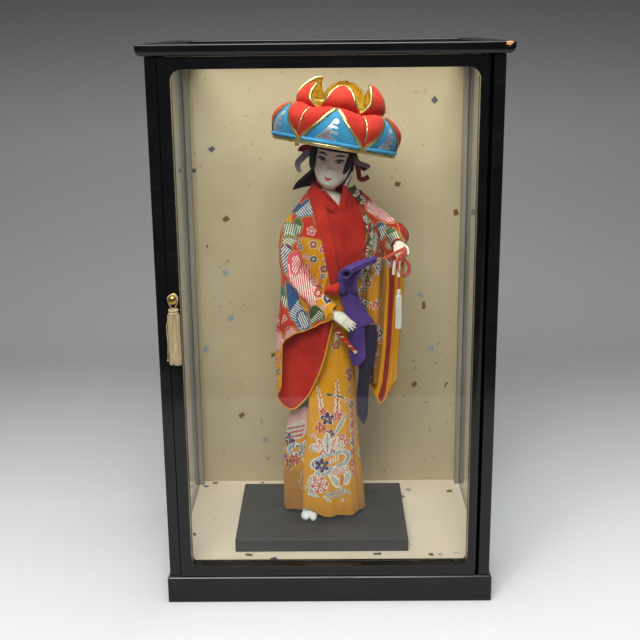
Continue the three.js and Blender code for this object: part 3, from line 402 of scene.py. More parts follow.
def grown(name, sizes, build):
    """A geometry tree with named inputs; `build` gives its last geometry from them."""
    group = bpy.data.node_groups.new(name, "GeometryNodeTree")
    group.interface.new_socket("Geometry", in_out="INPUT", socket_type="NodeSocketGeometry")
    for label, kind in sizes.items():
        group.interface.new_socket(label, in_out="INPUT", socket_type="NodeSocket" + kind)
    group.interface.new_socket("Geometry", in_out="OUTPUT", socket_type="NodeSocketGeometry")
    entry = group.nodes.new("NodeGroupInput")
    leave = group.nodes.new("NodeGroupOutput")
    given = {s.name: Wire(group, s) for s in entry.outputs if s.name}
    result = build(given)
    whole = result.node("GeometryNodeRealizeInstances", sockets={0: result})
    dressed = whole.node("GeometryNodeSetMaterial", sockets={0: whole, "Material": given["Finish"]})
    group.links.new(dressed.socket, leave.inputs[0])
    return group


def apply_tree(base, group, **sizes):
    """Runs the tree on the object and leaves its result as a plain mesh."""
    modifier = base.modifiers.new("grown", "NODES")
    modifier.node_group = group
    for item in group.interface.items_tree:
        if item.in_out == "INPUT" and item.name in sizes:
            modifier[item.identifier] = sizes[item.name]
    graph = bpy.context.evaluated_depsgraph_get()
    result = bpy.data.meshes.new_from_object(base.evaluated_get(graph), depsgraph=graph)
    base.modifiers.clear()
    old = base.data
    base.data = result
    bpy.data.meshes.remove(old)
    result.name = base.name
    result.polygons.foreach_set("use_smooth", np.ones(len(result.polygons), bool))
    return base


def ring_tree():
    """Sets the piece round an axis, as many times as it has petals."""
    def build(given):
        geometry = given["Geometry"]
        seats = geometry.node("GeometryNodePoints", sockets={"Count": given["Count"]})
        index = geometry.node("GeometryNodeInputIndex")
        turn = index * given["Step"]
        spin = geometry.node("FunctionNodeAxisAngleToRotation", sockets={"Axis": given["Axis"], "Angle": turn})
        there = geometry.node("GeometryNodeSetPosition", sockets={0: seats, "Position": given["Middle"]})
        away = given["Middle"].node("ShaderNodeVectorMath", {"operation": "SCALE"},
                                    {0: given["Middle"], "Scale": -1.0})
        centred = geometry.node("GeometryNodeTransform", sockets={0: geometry, "Translation": away})
        return geometry.node("GeometryNodeInstanceOnPoints", sockets={
            "Points": there, "Instance": centred, "Rotation": spin})
    return grown("set round an axis", {"Count": "Int", "Step": "Float", "Axis": "Vector", "Middle": "Vector",
                                       "Finish": "Material"}, build)


def strand_tree():
    """Hangs strands from the points of the piece, each a thin cord that sways a little and spreads as it falls."""
    def build(given):
        geometry = given["Geometry"]
        line = geometry.node("GeometryNodeCurvePrimitiveLine", sockets={"Start": (0, 0, 0), "End": (0, 0, -1)})
        steps = geometry.node("GeometryNodeResampleCurve", sockets={0: line, "Count": given["Steps"]})
        size = geometry.node("FunctionNodeRandomValue", {"data_type": "FLOAT"}, {
            "Min": 0.93, "Max": 1.0, "Seed": given["Seed"]}, out=1)
        length = size * given["Length"]
        hung = geometry.node("GeometryNodeInstanceOnPoints", sockets={
            "Points": geometry, "Instance": steps,
            "Scale": geometry.node("ShaderNodeCombineXYZ", sockets={0: 1.0, 1: 1.0, 2: length})})
        loose = geometry.node("GeometryNodeRealizeInstances", sockets={0: hung})
        where = geometry.node("GeometryNodeInputPosition")
        sway = geometry.node("ShaderNodeTexNoise", sockets={"Vector": where, "Scale": given["Sway Scale"]},
                             out="Color")
        centred = geometry.node("ShaderNodeVectorMath", {"operation": "SUBTRACT"}, {0: sway, 1: (0.5, 0.5, 0.5)})
        fall = geometry.node("GeometryNodeSplineParameter")
        moved = geometry.node("ShaderNodeVectorMath", {"operation": "SCALE"}, {
            0: centred, "Scale": fall * given["Sway"]})
        shifted = geometry.node("GeometryNodeSetPosition", sockets={0: loose, "Offset": moved})
        section = geometry.node("GeometryNodeCurvePrimitiveCircle", sockets={
            "Resolution": 5, "Radius": given["Radius"]})
        return geometry.node("GeometryNodeCurveToMesh", sockets={0: shifted, 1: section, "Fill Caps": True})
    return grown("hang strands", {"Length": "Float", "Radius": "Float", "Sway": "Float", "Sway Scale": "Float",
                                  "Steps": "Int", "Seed": "Int", "Finish": "Material"}, build)


RING = ring_tree()
STRANDS = strand_tree()


def dress(made, node=None, body="case"):
    """Says which body a piece rides on and which solid it stands for."""
    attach(made, body)
    if node:
        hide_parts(node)
    return made


def free_cord(made, line, width, far_end, place, *ends):
    """Works out the route and length of a limp cord along its middle line, given in the millimetres of its place;
    nothing more is done with them.
    """
    route = [place @ Vector(p) * 0.001 for p in np.asarray(line)[np.linspace(0, len(line) - 1, 36).astype(int)]]
    length = sum((b - a).length for a, b in zip(route[:-1], route[1:]))


# Case finishes

def lacquer_look(w):
    where = w.placed()
    x, y, z = where.parts()
    dull = w.noise(where, 26.0, 4.0).ease(0.3, 0.75)
    scuff = w.noise(where, 340.0, 2.0, stretch=(0.08, 1, 1)).ease(0.62, 0.75)
    corner = ((x - 0.1665) ** 2.0 + (z - 0.5622) ** 2.0 * 1.6).math("SQRT")
    chip = w.noise(where, 700.0, 2.0) * 0.006
    broken = (corner + chip).ease(0.0056, 0.0062).math("MAXIMUM", (y + chip).ease(-0.1165, -0.1145))
    nick = ((x - 0.1414) ** 2.0 + (z - 0.4597) ** 2.0).math("SQRT").ease(0.0011, 0.0014)
    worn = 1.0 - broken * nick.math("MAXIMUM", y.ease(-0.124, -0.1226))
    black = dull.between(rgba(ink(5, 5, 6)), rgba(ink(11, 11, 13)))
    grain = w.noise(where, 400.0, 2.0, stretch=(0.15, 1, 1)).between(rgba(ink(206, 150, 96)), rgba(ink(160, 104, 60)))
    return {"Base Color": worn.between(black, grain),
            "Roughness": (dull * 0.12 + scuff * 0.12 + worn * 0.5) + 0.14,
            "Normal": w.noise(where, 60.0, 2.0).raised(0.0004, 0.05)}


def dull_look(w):
    where = w.placed()
    rubbed = w.noise(where, 30.0, 4.0, stretch=(1, 1, 0.2)).ease(0.3, 0.75)
    grain = w.noise(where, 500.0, 3.0, stretch=(1, 1, 0.1))
    return {"Base Color": rubbed.between(rgba(ink(136, 127, 113)), rgba(ink(162, 151, 135))),
            "Roughness": rubbed.ease(0.0, 1.0, 0.4, 0.55),
            "Normal": grain.raised(0.0002, 0.2)}


def paper_look(w, light=ink(204, 184, 150), dark=ink(190, 168, 134)):
    where = w.placed()
    cloud = w.noise(where, 9.0, 4.0).ease(0.3, 0.7)
    fibre = w.noise(where, 420.0, 3.0, 0.6, stretch=(0.35, 1, 1))
    spot = w.noise(where, 150.0, 1.0).ease(0.73, 0.78)
    base = (cloud * 0.6 + fibre * 0.4).between(rgba(light), rgba(dark))
    return {"Base Color": (spot * 0.55).between(base, rgba(ink(150, 118, 72))),
            "Roughness": fibre.ease(0.0, 1.0, 0.8, 0.95),
            "Normal": fibre.raised(0.0003, 0.25)}


def foil(name, colour, roughness):
    def look(w):
        worn = w.noise(w.placed(), 900.0, 3.0)
        tint = worn.ease(0.35, 0.65).between(rgba(colour), rgba(colour * 0.62))
        return {"Base Color": tint, "Roughness": worn.ease(0.2, 0.8, roughness, roughness + 0.25)}
    return finish(name, look, Metallic=0.55)


def glass_finish(name):
    made = bpy.data.materials.new(name)
    made.use_nodes = True
    tree = made.node_tree
    tree.nodes.clear()
    w = Wire(tree)
    smear = w.noise(w.placed(), 14.0, 3.0).ease(0.3, 0.8, 0.004, 0.03)
    clear = w.node("ShaderNodeBsdfTransparent", sockets={"Color": rgba(ink(247, 250, 249))})
    sheen = w.node("ShaderNodeBsdfGlossy", sockets={"Color": (1, 1, 1, 1), "Roughness": smear})
    share = w.node("ShaderNodeLayerWeight", sockets={"Blend": 0.5}, out=1) ** 5.0 * 0.96 + 0.016
    pane = w.node("ShaderNodeMixShader", sockets={0: share, 1: clear, 2: sheen})
    out = tree.nodes.new("ShaderNodeOutputMaterial")
    tree.links.new(pane.socket, out.inputs["Surface"])
    return made


def metal(name, light, dark, roughness):
    def look(w):
        tarnish = w.noise(w.placed(), 260.0, 4.0).ease(0.35, 0.7)
        return {"Base Color": tarnish.between(rgba(light), rgba(dark)),
                "Roughness": tarnish.ease(0.0, 1.0, roughness, roughness + 0.2)}
    return finish(name, look, Metallic=1.0)


def board_look(w):
    where = w.placed()
    pores = w.noise(where, 500.0, 3.0, stretch=(0.12, 1, 1))
    dust = w.noise(where, 18.0, 4.0).ease(0.35, 0.75)
    return {"Base Color": dust.between(rgba(ink(40, 40, 41)), rgba(ink(60, 59, 61))),
            "Roughness": dust.ease(0.0, 1.0, 0.42, 0.56),
            "Normal": pores.raised(0.0002, 0.2)}


def wood_look(w):
    grain = w.noise(w.placed(), 220.0, 3.0, stretch=(1, 1, 0.08))
    return {"Base Color": grain.between(rgba(ink(196, 152, 102)), rgba(ink(140, 98, 58))),
            "Roughness": grain.ease(0.2, 0.8, 0.6, 0.85)}


def silk_cord(name, light, dark):
    def look(w):
        u, v, _ = w.laid().parts()
        twist = ((u * 250.0 + v * 900.0) * (2 * math.pi)).math("SINE") * 0.5 + 0.5
        strand = w.noise(w.placed(), 600.0, 2.0, stretch=(1, 1, 0.1)).ease(0.3, 0.7)
        return {"Base Color": (strand * 0.7 + twist * 0.3).between(rgba(light), rgba(dark)),
                "Roughness": strand.ease(0.0, 1.0, 0.45, 0.62),
                "Normal": twist.raised(0.00012, 0.5)}
    return finish(name, look, Sheen_Weight=0.3)


LACQUER = finish("black lacquer", lacquer_look, Specular_IOR_Level=0.32, Coat_Weight=0.1, Coat_Roughness=0.06)
DULL_LACQUER = finish("dulled lacquer", dull_look, Specular_IOR_Level=0.4)
PAPER = finish("gold-flecked paper", paper_look, Specular_IOR_Level=0.2)
# The floor's paper is the panel's flecked paper painted lighter: painted light from the lamps above.
TOP_LIT_FLOOR_PAPER = finish("pale flecked paper", lambda w: paper_look(w, ink(227, 207, 184), ink(214, 192, 168)),
                     Specular_IOR_Level=0.2)
GLASS = glass_finish("window glass")
BRASS = metal("aged brass", ink(206, 170, 96), ink(120, 88, 42), 0.24)
STEEL = metal("catch steel", ink(180, 182, 186), ink(120, 120, 124), 0.3)
BOARD = finish("black stand board", board_look)
WOOD = finish("bare leg wood", wood_look)
CREAM_CORD = silk_cord("pale gold silk", ink(190, 170, 128), ink(138, 114, 72))
RED_CORD = silk_cord("red silk cord", ink(206, 64, 44), ink(140, 26, 20))
WHITE_SILK = silk_cord("white tassel silk", ink(238, 232, 220), ink(206, 196, 178))
GOLD_LEAF = foil("gold leaf fleck", ink(150, 116, 58), 0.45)
SILVER_LEAF = foil("silver leaf fleck", ink(190, 194, 196), 0.4)
GREY_LEAF = foil("tarnished leaf fleck", ink(112, 112, 118), 0.5)


# Solids that show as they are get softened edges and their finishes

def soften(name, material, width):
    node = nodes[name]
    node.data.materials.clear()
    node.data.materials.append(material)
    node.modifiers.new("joined", "WELD").merge_threshold = 0.00002
    edge = node.modifiers.new("softened", "BEVEL")
    edge.width = width
    edge.segments = 2
    edge.limit_method = "ANGLE"
    edge.angle_limit = math.radians(32)
    node.data.polygons.foreach_set("use_smooth", np.ones(len(node.data.polygons), bool))
    node.modifiers.new("faired", "WEIGHTED_NORMAL").keep_sharp = False


for width, material, names in [
        (0.0009, LACQUER, ("base_plinth", "cornice_frame", "door_frame")),
        (0.0005, LACQUER, ("front_left_post", "front_right_post", "left_top_rail", "right_top_rail", "top_glazing_bead",
                           "bottom_glazing_bead", "left_glazing_bead", "right_glazing_bead")),
        (0.0005, DULL_LACQUER, ("rear_left_post", "rear_right_post")),
        (0.0003, TOP_LIT_FLOOR_PAPER, ("floor_board",)), (0.0003, PAPER, ("back_panel",)),
        (0.0003, GLASS, ("left_side_glass", "right_side_glass", "top_glass", "door_glass")),
        (0.0002, BRASS, ("lower_pivot_pin", "upper_pivot_pin", "door_knob")),
        (0.0002, STEEL, ("strike_plate", "catch_magnet")), (0.0007, BOARD, ("display_stand",)),
        (0.0003, WOOD, ("body_core", "right_leg", "left_leg", "right_arm", "left_arm"))]:
    for name in names:
        soften(name, material, width)


# Leaf flecks pressed into the paper: places on the panel as x, z and on the floor as x, y, with size and turn

PANEL_FACE, FLOOR_FACE = 110, 34.3


def flecks(name, material, places, ground):
    piece = Piece(name, CASE)
    for a, b, long, wide, turn in places:
        corners = np.array([(-1, -1), (1, -1), (1, 1), (-1, 1)]) * [long / 2, wide / 2]
        corners += RNG.uniform(-0.12, 0.12, (4, 2)) * wide
        c, s = spoke(turn)
        x, other = (corners @ np.array([[c, s], [-s, c]]) + [a, b]).T
        for lift, faces in [(0.06, [[0, 1, 2, 3]]), (0.01, [[3, 2, 1, 0]])]:
            on_panel, on_floor = stacked(x, PANEL_FACE - lift, other), stacked(x, other, FLOOR_FACE + lift)
            piece.skin(on_panel if ground == "panel" else on_floor, faces, material)
    dress(piece.made(False))


flecks("gold_leaf_on_the_back_panel", GOLD_LEAF, [
    (-117.3, 362.2, 7, 5.5, 30), (81.3, 401, 6.5, 5.5, -12), (149.1, 368, 5, 7, 12), (113.5, 257.5, 4, 10, 4),
    (-33.7, 448.8, 5, 5.5, 5), (-66, 197.2, 4.5, 5, 10), (103.6, 158.8, 6.5, 6, 40), (142, 157.9, 3, 6, -25),
    (-105.6, 120.8, 7, 5.5, 38), (103, 188, 2, 2, 0), (-140, 330, 2, 3, 10), (46, 470, 1.5, 1.5, 0),
    (-90, 480, 1.6, 1.4, 20), (110, 446, 1.4, 1.4, 0), (-100, 260, 1.6, 1.2, 30)], "panel")
flecks("grey_leaf_on_the_back_panel", GREY_LEAF, [
    (122.4, 495.2, 6.5, 6.5, 42), (-130.9, 442.7, 6.5, 5.5, 35), (-152.6, 418.8, 6, 4, 0)], "panel")
flecks("silver_leaf_on_the_back_panel", SILVER_LEAF, [
    (-119.4, 298.7, 6, 6, 15), (-115.3, 242.6, 6.5, 6, 30), (110.3, 269.7, 8, 5.5, -20), (-146.4, 205, 7, 6.5, 25),
    (123.2, 204.5, 7, 6.5, 20), (-78.1, 87.9, 6, 5, 35), (134, 196, 3, 3, 20)], "panel")
flecks("gold_leaf_on_the_floor", GOLD_LEAF, [
    (-140, 104, 7, 6, 10), (-82, 104, 4, 5, 0), (87.4, 60.4, 4, 7, 15), (145.4, 75.2, 6, 7, 10),
    (-85.4, -84.5, 7, 6, -10), (108.1, -85.9, 5, 6, 15)], "floor")
flecks("grey_leaf_on_the_floor", GREY_LEAF, [
    (-150, -36, 4, 8, 10), (-58.8, -93.9, 7, 6, 15), (51.4, -84.1, 8, 5, 5), (-151, 94, 6, 5, -20)], "floor")
flecks("silver_leaf_on_the_floor", SILVER_LEAF, [
    (96.3, 80.3, 6, 8, 20), (118, -86, 4, 5, 0), (135, -82.3, 5, 3, 10)], "floor")


# Door tassel: loop, bound collar and hanging strands

GOLDEN_ANGLE = 2.399963


def discs(name, place, radius, count):
    """Points packed over a disc, as a mesh without faces for strands to hang from."""
    i = np.arange(count)
    reach = radius * np.sqrt((i + 0.5) / count)
    angle = i * GOLDEN_ANGLE
    points = (stacked(reach * np.cos(angle), reach * np.sin(angle), 0.0) + np.asarray(place)) * 0.001
    mesh = bpy.data.meshes.new(name)
    mesh.from_pydata(points.tolist(), [], [])
    made = bpy.data.objects.new(name, mesh)
    bpy.context.scene.collection.objects.link(made)
    return made


KNOB_X, KNOB_Y = -147.65, -129.0
hanging = discs("door_tassel_strands", (KNOB_X, KNOB_Y, 311.5), 5.6, 190)
apply_tree(hanging, STRANDS, Length=0.050, Radius=0.00042, Sway=0.0042, Seed=4, Steps=14, Finish=CREAM_CORD,
           **{"Sway Scale": 70.0})
dress(hanging, "tassel_skirt", "door_tassel")

collar = Piece("door_tassel_collar", CASE)
ring, height = np.array([(0.1, 0), (3.4, 0.2), (4.8, 1), (5.0, 2), (4.4, 3.1), (4.0, 3.5), (4.4, 3.9), (4.9, 5),
                         (4.5, 6.2), (3.0, 6.9), (1.4, 7.6), (0.1, 7.8)]).T[:, :, None]
spin = full_turn(64)
ridged = ring * (1 + 0.035 * np.cos(22 * spin + height * 2.2))
swell = stacked(KNOB_X + ridged * np.cos(spin), KNOB_Y + ridged * np.sin(spin), 310.9 + height)
collar.skin(swell, lattice(len(ring), 64, True), CREAM_CORD)
close_ends(collar, swell, CREAM_CORD)
bind(collar, (KNOB_X, KNOB_Y, 310.55), 5.15, 0.75, 5, 0.42, CREAM_CORD, 48)
bound = dress(collar.made(), "tassel_collar", "door_tassel")

stray = curve_through([(KNOB_X - 4.5, KNOB_Y - 2, 309), (KNOB_X - 6.6, KNOB_Y - 2.5, 300),
                       (KNOB_X - 6.0, KNOB_Y - 3, 284), (KNOB_X - 6.9, KNOB_Y - 2, 266)], 40)
loose = Piece("door_tassel_stray_thread", CASE)
tube(loose, stray, 0.42, CREAM_CORD, 6)
stray_thread = dress(loose.made(), body="door_tassel")
knot = np.linspace(0, 2 * math.pi, 20)
tied = Piece("door_tassel_stray_knot", CASE)
tube(tied, stacked(KNOB_X - 6.9 + 0.6 * np.cos(knot), KNOB_Y - 2 + 0.5 * np.sin(knot), 265.4 + 0.25 * knot), 0.5,
     CREAM_CORD, 6)
stray_knot = dress(tied.made(), body="door_tassel")
free_cord(stray_thread, stray, 0.00084, "knot", CASE, stray_knot)

loop = Piece("door_tassel_loop", CASE)
path = curve_through([(-1.2, 0, 317.6), (-3.6, 0.3, 322.6), (-4.3, 0, 328), (-2.4, -0.2, 330.6), (0, 0, 331.2),
                      (2.4, 0.2, 330.6), (4.3, 0, 328), (3.6, -0.3, 322.6), (1.2, 0, 317.6)], 90)
path[:, :2] += [KNOB_X, KNOB_Y]
tube(loop, path, 0.95, CREAM_CORD)
hung = dress(loop.made(), "tassel_loop", "door_tassel")
free_cord(hung, path, 0.0019, "object", CASE, bound, hanging)


# Stencil dyework

RED, DEEP_RED, PINK = ink(198, 42, 24), ink(150, 24, 20), ink(214, 78, 96)
YELLOW, OCHRE, GOLD = ink(222, 146, 2), ink(178, 112, 22), ink(238, 190, 66)
BLUE, NAVY, PALE_BLUE = ink(46, 78, 122), ink(32, 42, 74), ink(112, 136, 150)
GREEN, DARK_GREEN, TAN = ink(78, 100, 58), ink(44, 66, 44), ink(186, 142, 78)
PURPLE, MAUVE, WHITE = ink(62, 38, 92), ink(128, 86, 120), ink(240, 230, 212)
ORANGE = ink(218, 110, 34)


def polygon_reach(x, y, ring):
    """Signed distance of places from a closed outline, negative inside it."""
    start, step = ring[:-1], np.diff(ring, axis=0)
    best = np.full(x.shape, 1e9)
    within = np.zeros(x.shape, bool)
    for (ax, ay), (dx, dy) in zip(start, step):
        px, py = x - ax, y - ay
        t = np.clip((px * dx + py * dy) / max(dx * dx + dy * dy, 1e-9), 0, 1)
        best = np.minimum(best, (px - t * dx) ** 2 + (py - t * dy) ** 2)
        cross = (ay <= y) != (ay + dy <= y)
        if abs(dy) > 1e-9:
            within ^= cross & (px < dx * py / dy)
    return np.where(within, -1, 1) * np.sqrt(best)


class Dyework:
    """Dye on a width of cloth: flat shapes, each parted from the next by a line of resist paste."""

    def __init__(self, across, up, ground):
        self.across, self.up = np.broadcast_arrays(across, up)
        self.dye = np.broadcast_to(ground, self.across.shape + (3,)).copy()
        self.line = np.full(self.across.shape, 9.0)

    def local(self, x, y, turn=0.0):
        c, s = spoke(turn)
        dx, dy = self.across - x, self.up - y
        return dx * c + dy * s, dy * c - dx * s

    def lay(self, inside, colour, lined=True):
        cover = np.clip(0.5 - inside / 0.6, 0, 1)[..., None]
        self.dye = self.dye * (1 - cover) + colour * cover
        if lined:
            self.line = np.where(inside < 0, np.minimum(-inside, 9.0), np.minimum(self.line, inside))

    def wash(self, amount, colour):
        amount = np.clip(amount, 0, 1)[..., None]
        self.dye = self.dye * (1 - amount) + colour * amount

    def blossom(self, x, y, size, colour, turn=0.0, petals=5, core=GOLD, deep=0.34):
        px, py = self.local(x, y, turn)
        r, a = np.hypot(px, py), np.arctan2(py, px)
        lobe = np.abs(np.cos(petals * a / 2))
        inside = (r - size * (1 - deep + deep * lobe ** 0.7)) * 0.85
        tone = mix(colour * 0.55, colour, np.clip(r / size, 0, 1)[..., None] ** 0.8)
        self.lay(inside, tone)
        ray = np.abs(np.sin(petals * a / 2)) * r
        self.wash((ray < 0.5) * (r < size * 0.8) * (r > size * 0.3) * 0.6, WHITE)
        self.lay(r - size * 0.24, core)

    def star(self, x, y, size, colour, turn=0.0, petals=6):
        px, py = self.local(x, y, turn)
        r, a = np.hypot(px, py), np.arctan2(py, px)
        point = np.abs(np.cos(petals * a / 2)) ** 1.3
        tone = mix(colour * 0.6, colour, np.clip(r / size * 1.4, 0, 1)[..., None])
        self.lay((r - size * 1.12 * (0.46 + 0.54 * point)) * 0.75, tone)
        ray = np.abs(np.sin(petals * a / 2)) * r
        self.wash((ray < 0.34) * (r < size * 0.66) * 0.8, WHITE)
        self.lay(r - size * 0.15, GOLD, False)

    def leaf(self, x, y, long, wide, turn, colour, hatched=None):
        px, py = self.local(x, y, turn)
        bow = (long ** 2 + wide ** 2) / (2 * wide)
        inside = np.hypot(px, np.abs(py) + bow - wide) - bow
        tone = np.broadcast_to(colour, px.shape + (3,))
        if hatched is not None:
            vein = np.abs(((px * 0.8 + np.abs(py) * 0.9) / 2.0) % 1 - 0.5) > 0.3
            tone = np.where((vein | (np.abs(py) < 0.35))[..., None], hatched, tone)
        self.lay(inside, tone)

    def patch(self, outline, colour, slant=None, pale=WHITE, edge=TAN, keep=0.3, pitch=2.3):
        """A lobed patch of dye, hatched by slanting pale strokes past a plain margin."""
        border = 0.8
        ring = curve_through(list(outline) + [outline[0]], 72)
        low, high = ring.min(0) - 3, ring.max(0) + 3
        near = ((self.across > low[0]) & (self.across < high[0]) & (self.up > low[1]) & (self.up < high[1]))
        if not near.any():
            return
        x, y = self.across[near], self.up[near]
        inside = polygon_reach(x, y, ring)
        tone = np.broadcast_to(colour, x.shape + (3,))
        if slant is not None:
            c, s = spoke(slant)
            stretch = (ring @ [c, s]).min(), (ring @ [c, s]).max()
            share = (x * c + y * s - stretch[0]) / (stretch[1] - stretch[0])
            stroke = (np.abs(((y * c - x * s) / pitch) % 1 - 0.5) > 0.29) & (share > keep) & (inside < -border)
            tone = np.where(stroke[:, None], pale, tone)
        dye, line = self.dye[near], self.line[near]
        if edge is not None:
            rim = np.clip(0.5 - (inside - border) / 0.5, 0, 1)[:, None]
            dye = dye * (1 - rim) + edge * rim
        cover = np.clip(0.5 - inside / 0.5, 0, 1)[:, None]
        self.dye[near] = dye * (1 - cover) + tone * cover
        self.line[near] = np.where(inside < border, 9.0, line)

    def scroll(self, x, y, size, colour, turn=1):
        """A rolled wave end: a spiral of two tones."""
        px, py = self.local(x, y)
        r, a = np.hypot(px, py), np.arctan2(py, px * turn)
        coil = ((r / size * 1.9 - a / (2 * math.pi)) % 1) < 0.5
        self.lay(r - size, np.where(coil[..., None], WHITE, colour))

    def pool(self, x, y, wide, tall, turn, colour, inner=0.62):
        """An oval of running water: bands of two blues with a hollow middle."""
        px, py = self.local(x, y, turn)
        r = np.hypot(px / wide, py / tall) + 0.05 * np.sin(px * 0.35)
        inside = np.maximum(r - 1, inner - r) * tall
        band = np.abs((r * 7.5) % 1 - 0.5) > 0.32
        water = mix(colour, PALE_BLUE, np.clip((r - inner) * 2, 0, 1)[..., None])
        self.lay(inside, np.where(band[..., None], WHITE, water))

    def spike(self, x, low, high, colour, lean=0.0, wide=4.0):
        """A tall flower head: rows of drops that narrow towards its tip, on a green stem."""
        for i, z in enumerate(np.arange(low, high, 2.3)):
            share = (z - low) / (high - low)
            middle = x + lean * (z - low)
            drops = 4 if share < 0.45 else 3 if share < 0.8 else 2
            for k, side in enumerate(np.linspace(-1, 1, drops) + 0.16 * (-1) ** i):
                px, py = self.local(middle + side * wide * (1 - 0.72 * share), z + 0.5 * abs(side), 40 * side)
                tone = [WHITE, colour, WHITE, mix(colour, WHITE, 0.5)][(i + k) % 4]
                self.lay(np.hypot(px, py * 0.8) - mix(0.95, 0.72, share), tone, False)
        stem = np.abs(self.across - x - lean * (self.up - low))
        self.lay(np.maximum(stem - 0.3, np.abs(self.up - (low + high) / 2) - (high - low) / 2), DARK_GREEN, False)

    def stream(self, x0, x1, y, waves, colour):
        """Wavy lines of water, one above the other."""
        for i in range(waves):
            level = y + 2.6 * i + 1.6 * np.sin(self.across * 0.28 + i)
            ends = np.maximum(x0 + 2 * i - self.across, self.across - x1 + 3 * i)
            self.lay(np.maximum(np.abs(self.up - level) - 0.85, ends), colour if i % 2 else PALE_BLUE)

    def scatter(self, rng, count, x0, x1, y0, y1, size, colours):
        """Blossoms strewn over a stretch of cloth."""
        for _ in range(count):
            x, y = rng.uniform(x0, x1), rng.uniform(y0, y1)
            colour = colours[rng.integers(len(colours))]
            self.blossom(x, y, size * rng.uniform(0.75, 1.2), colour, rng.uniform(0, 72))


DYED = dyed_cloth("stencil-dyed robe cloth")
RED_LINING = plain_cloth("red lining", ink(198, 42, 23), ink(164, 28, 18))
RED_SILK = plain_cloth("red under-robe silk", ink(204, 46, 28), ink(168, 30, 22), 0.7)
COLLAR_SILK = plain_cloth("red collar silk", ink(212, 52, 30), ink(176, 34, 24), 0.68)
YELLOW_EDGE = plain_cloth("yellow edging", ink(230, 164, 34), ink(200, 132, 24))
BACK_CLOTH = plain_cloth("ochre cloth back", ink(190, 130, 50), ink(160, 104, 40))
PURPLE_SILK = plain_cloth("purple sash silk", ink(94, 62, 136), ink(70, 46, 108), 0.72)
# Dark purple silk: the scarf's own colour, and on the hanging sash end painted shade.
SCARF_AND_SHADED_SASH_SILK = plain_cloth("dark purple scarf silk", ink(48, 36, 58), ink(33, 26, 42), 0.75)
RED_RIBBON = plain_cloth("red ribbon", ink(150, 36, 34), ink(112, 24, 26), 0.6)
TIE_SILK = plain_cloth("white silk tie", ink(232, 226, 210), ink(200, 190, 168), 0.65)
GREY_RIBBON = plain_cloth("grey ribbon back", ink(150, 144, 148), ink(116, 108, 116), 0.6)


# Robe skirt: one width wrapped once and a sixth round the legs

SKIRT = [(0, 2, 3, 46, 30), (0.25, 0.3, 3, 42, 29), (0.5, 5, 3, 34, 27), (0.75, 5, 3, 33, 25), (1, 7, 2, 31, 23)]


def skirt_grid(u, v):
    """Places of the wrapped cloth: u from its inner end round to the open edge, v from hem to waist."""
    u, v = np.broadcast_arrays(u, v)
    angle = np.radians(-60 - 420 * u)
    cx, cy, rx, ry = along(SKIRT, v)
    hem = mix(0.62, 1, smooth(0.143, 0.31, u))
    reach = mix(hem, mix(0.84, 1, u), smooth(0, 1, v))
    down = (1 - v) ** 1.3
    reach = reach + 0.022 * np.cos(9 * angle + 0.6) * down * smooth(0.2, 0.35, u)
    reach = reach + 0.012 * np.cos(23 * angle + 2.5 * v) * down
    reach = reach + 0.055 * smooth(0.955, 0.99, u) * smooth(1, 0.6, v)
    reach = reach - 0.03 * bell(u, 0.93, 0.018) * smooth(0.55, 0.1, v)
    reach = reach + 0.15 * bell(u, 0.27, 0.1) * bell(v, 0.42, 0.16)
    lift = 12 * (1 - smooth(0.155, 0.2, u)) + 9 * smooth(0.9, 1, u) + 1.2 * np.sin(9 * angle) * (1 - v)
    z = mix(4 + lift, 262, v)
    return stacked(cx + rx * reach * np.cos(angle), cy + ry * reach * np.sin(angle), z), angle


def skirt_map(place):
    """Lengths along the cloth from its first column."""
    step = np.linalg.norm(np.diff(place[..., :2], axis=1), axis=2)
    return np.hstack([np.zeros((len(place), 1)), np.cumsum(step, axis=1)])


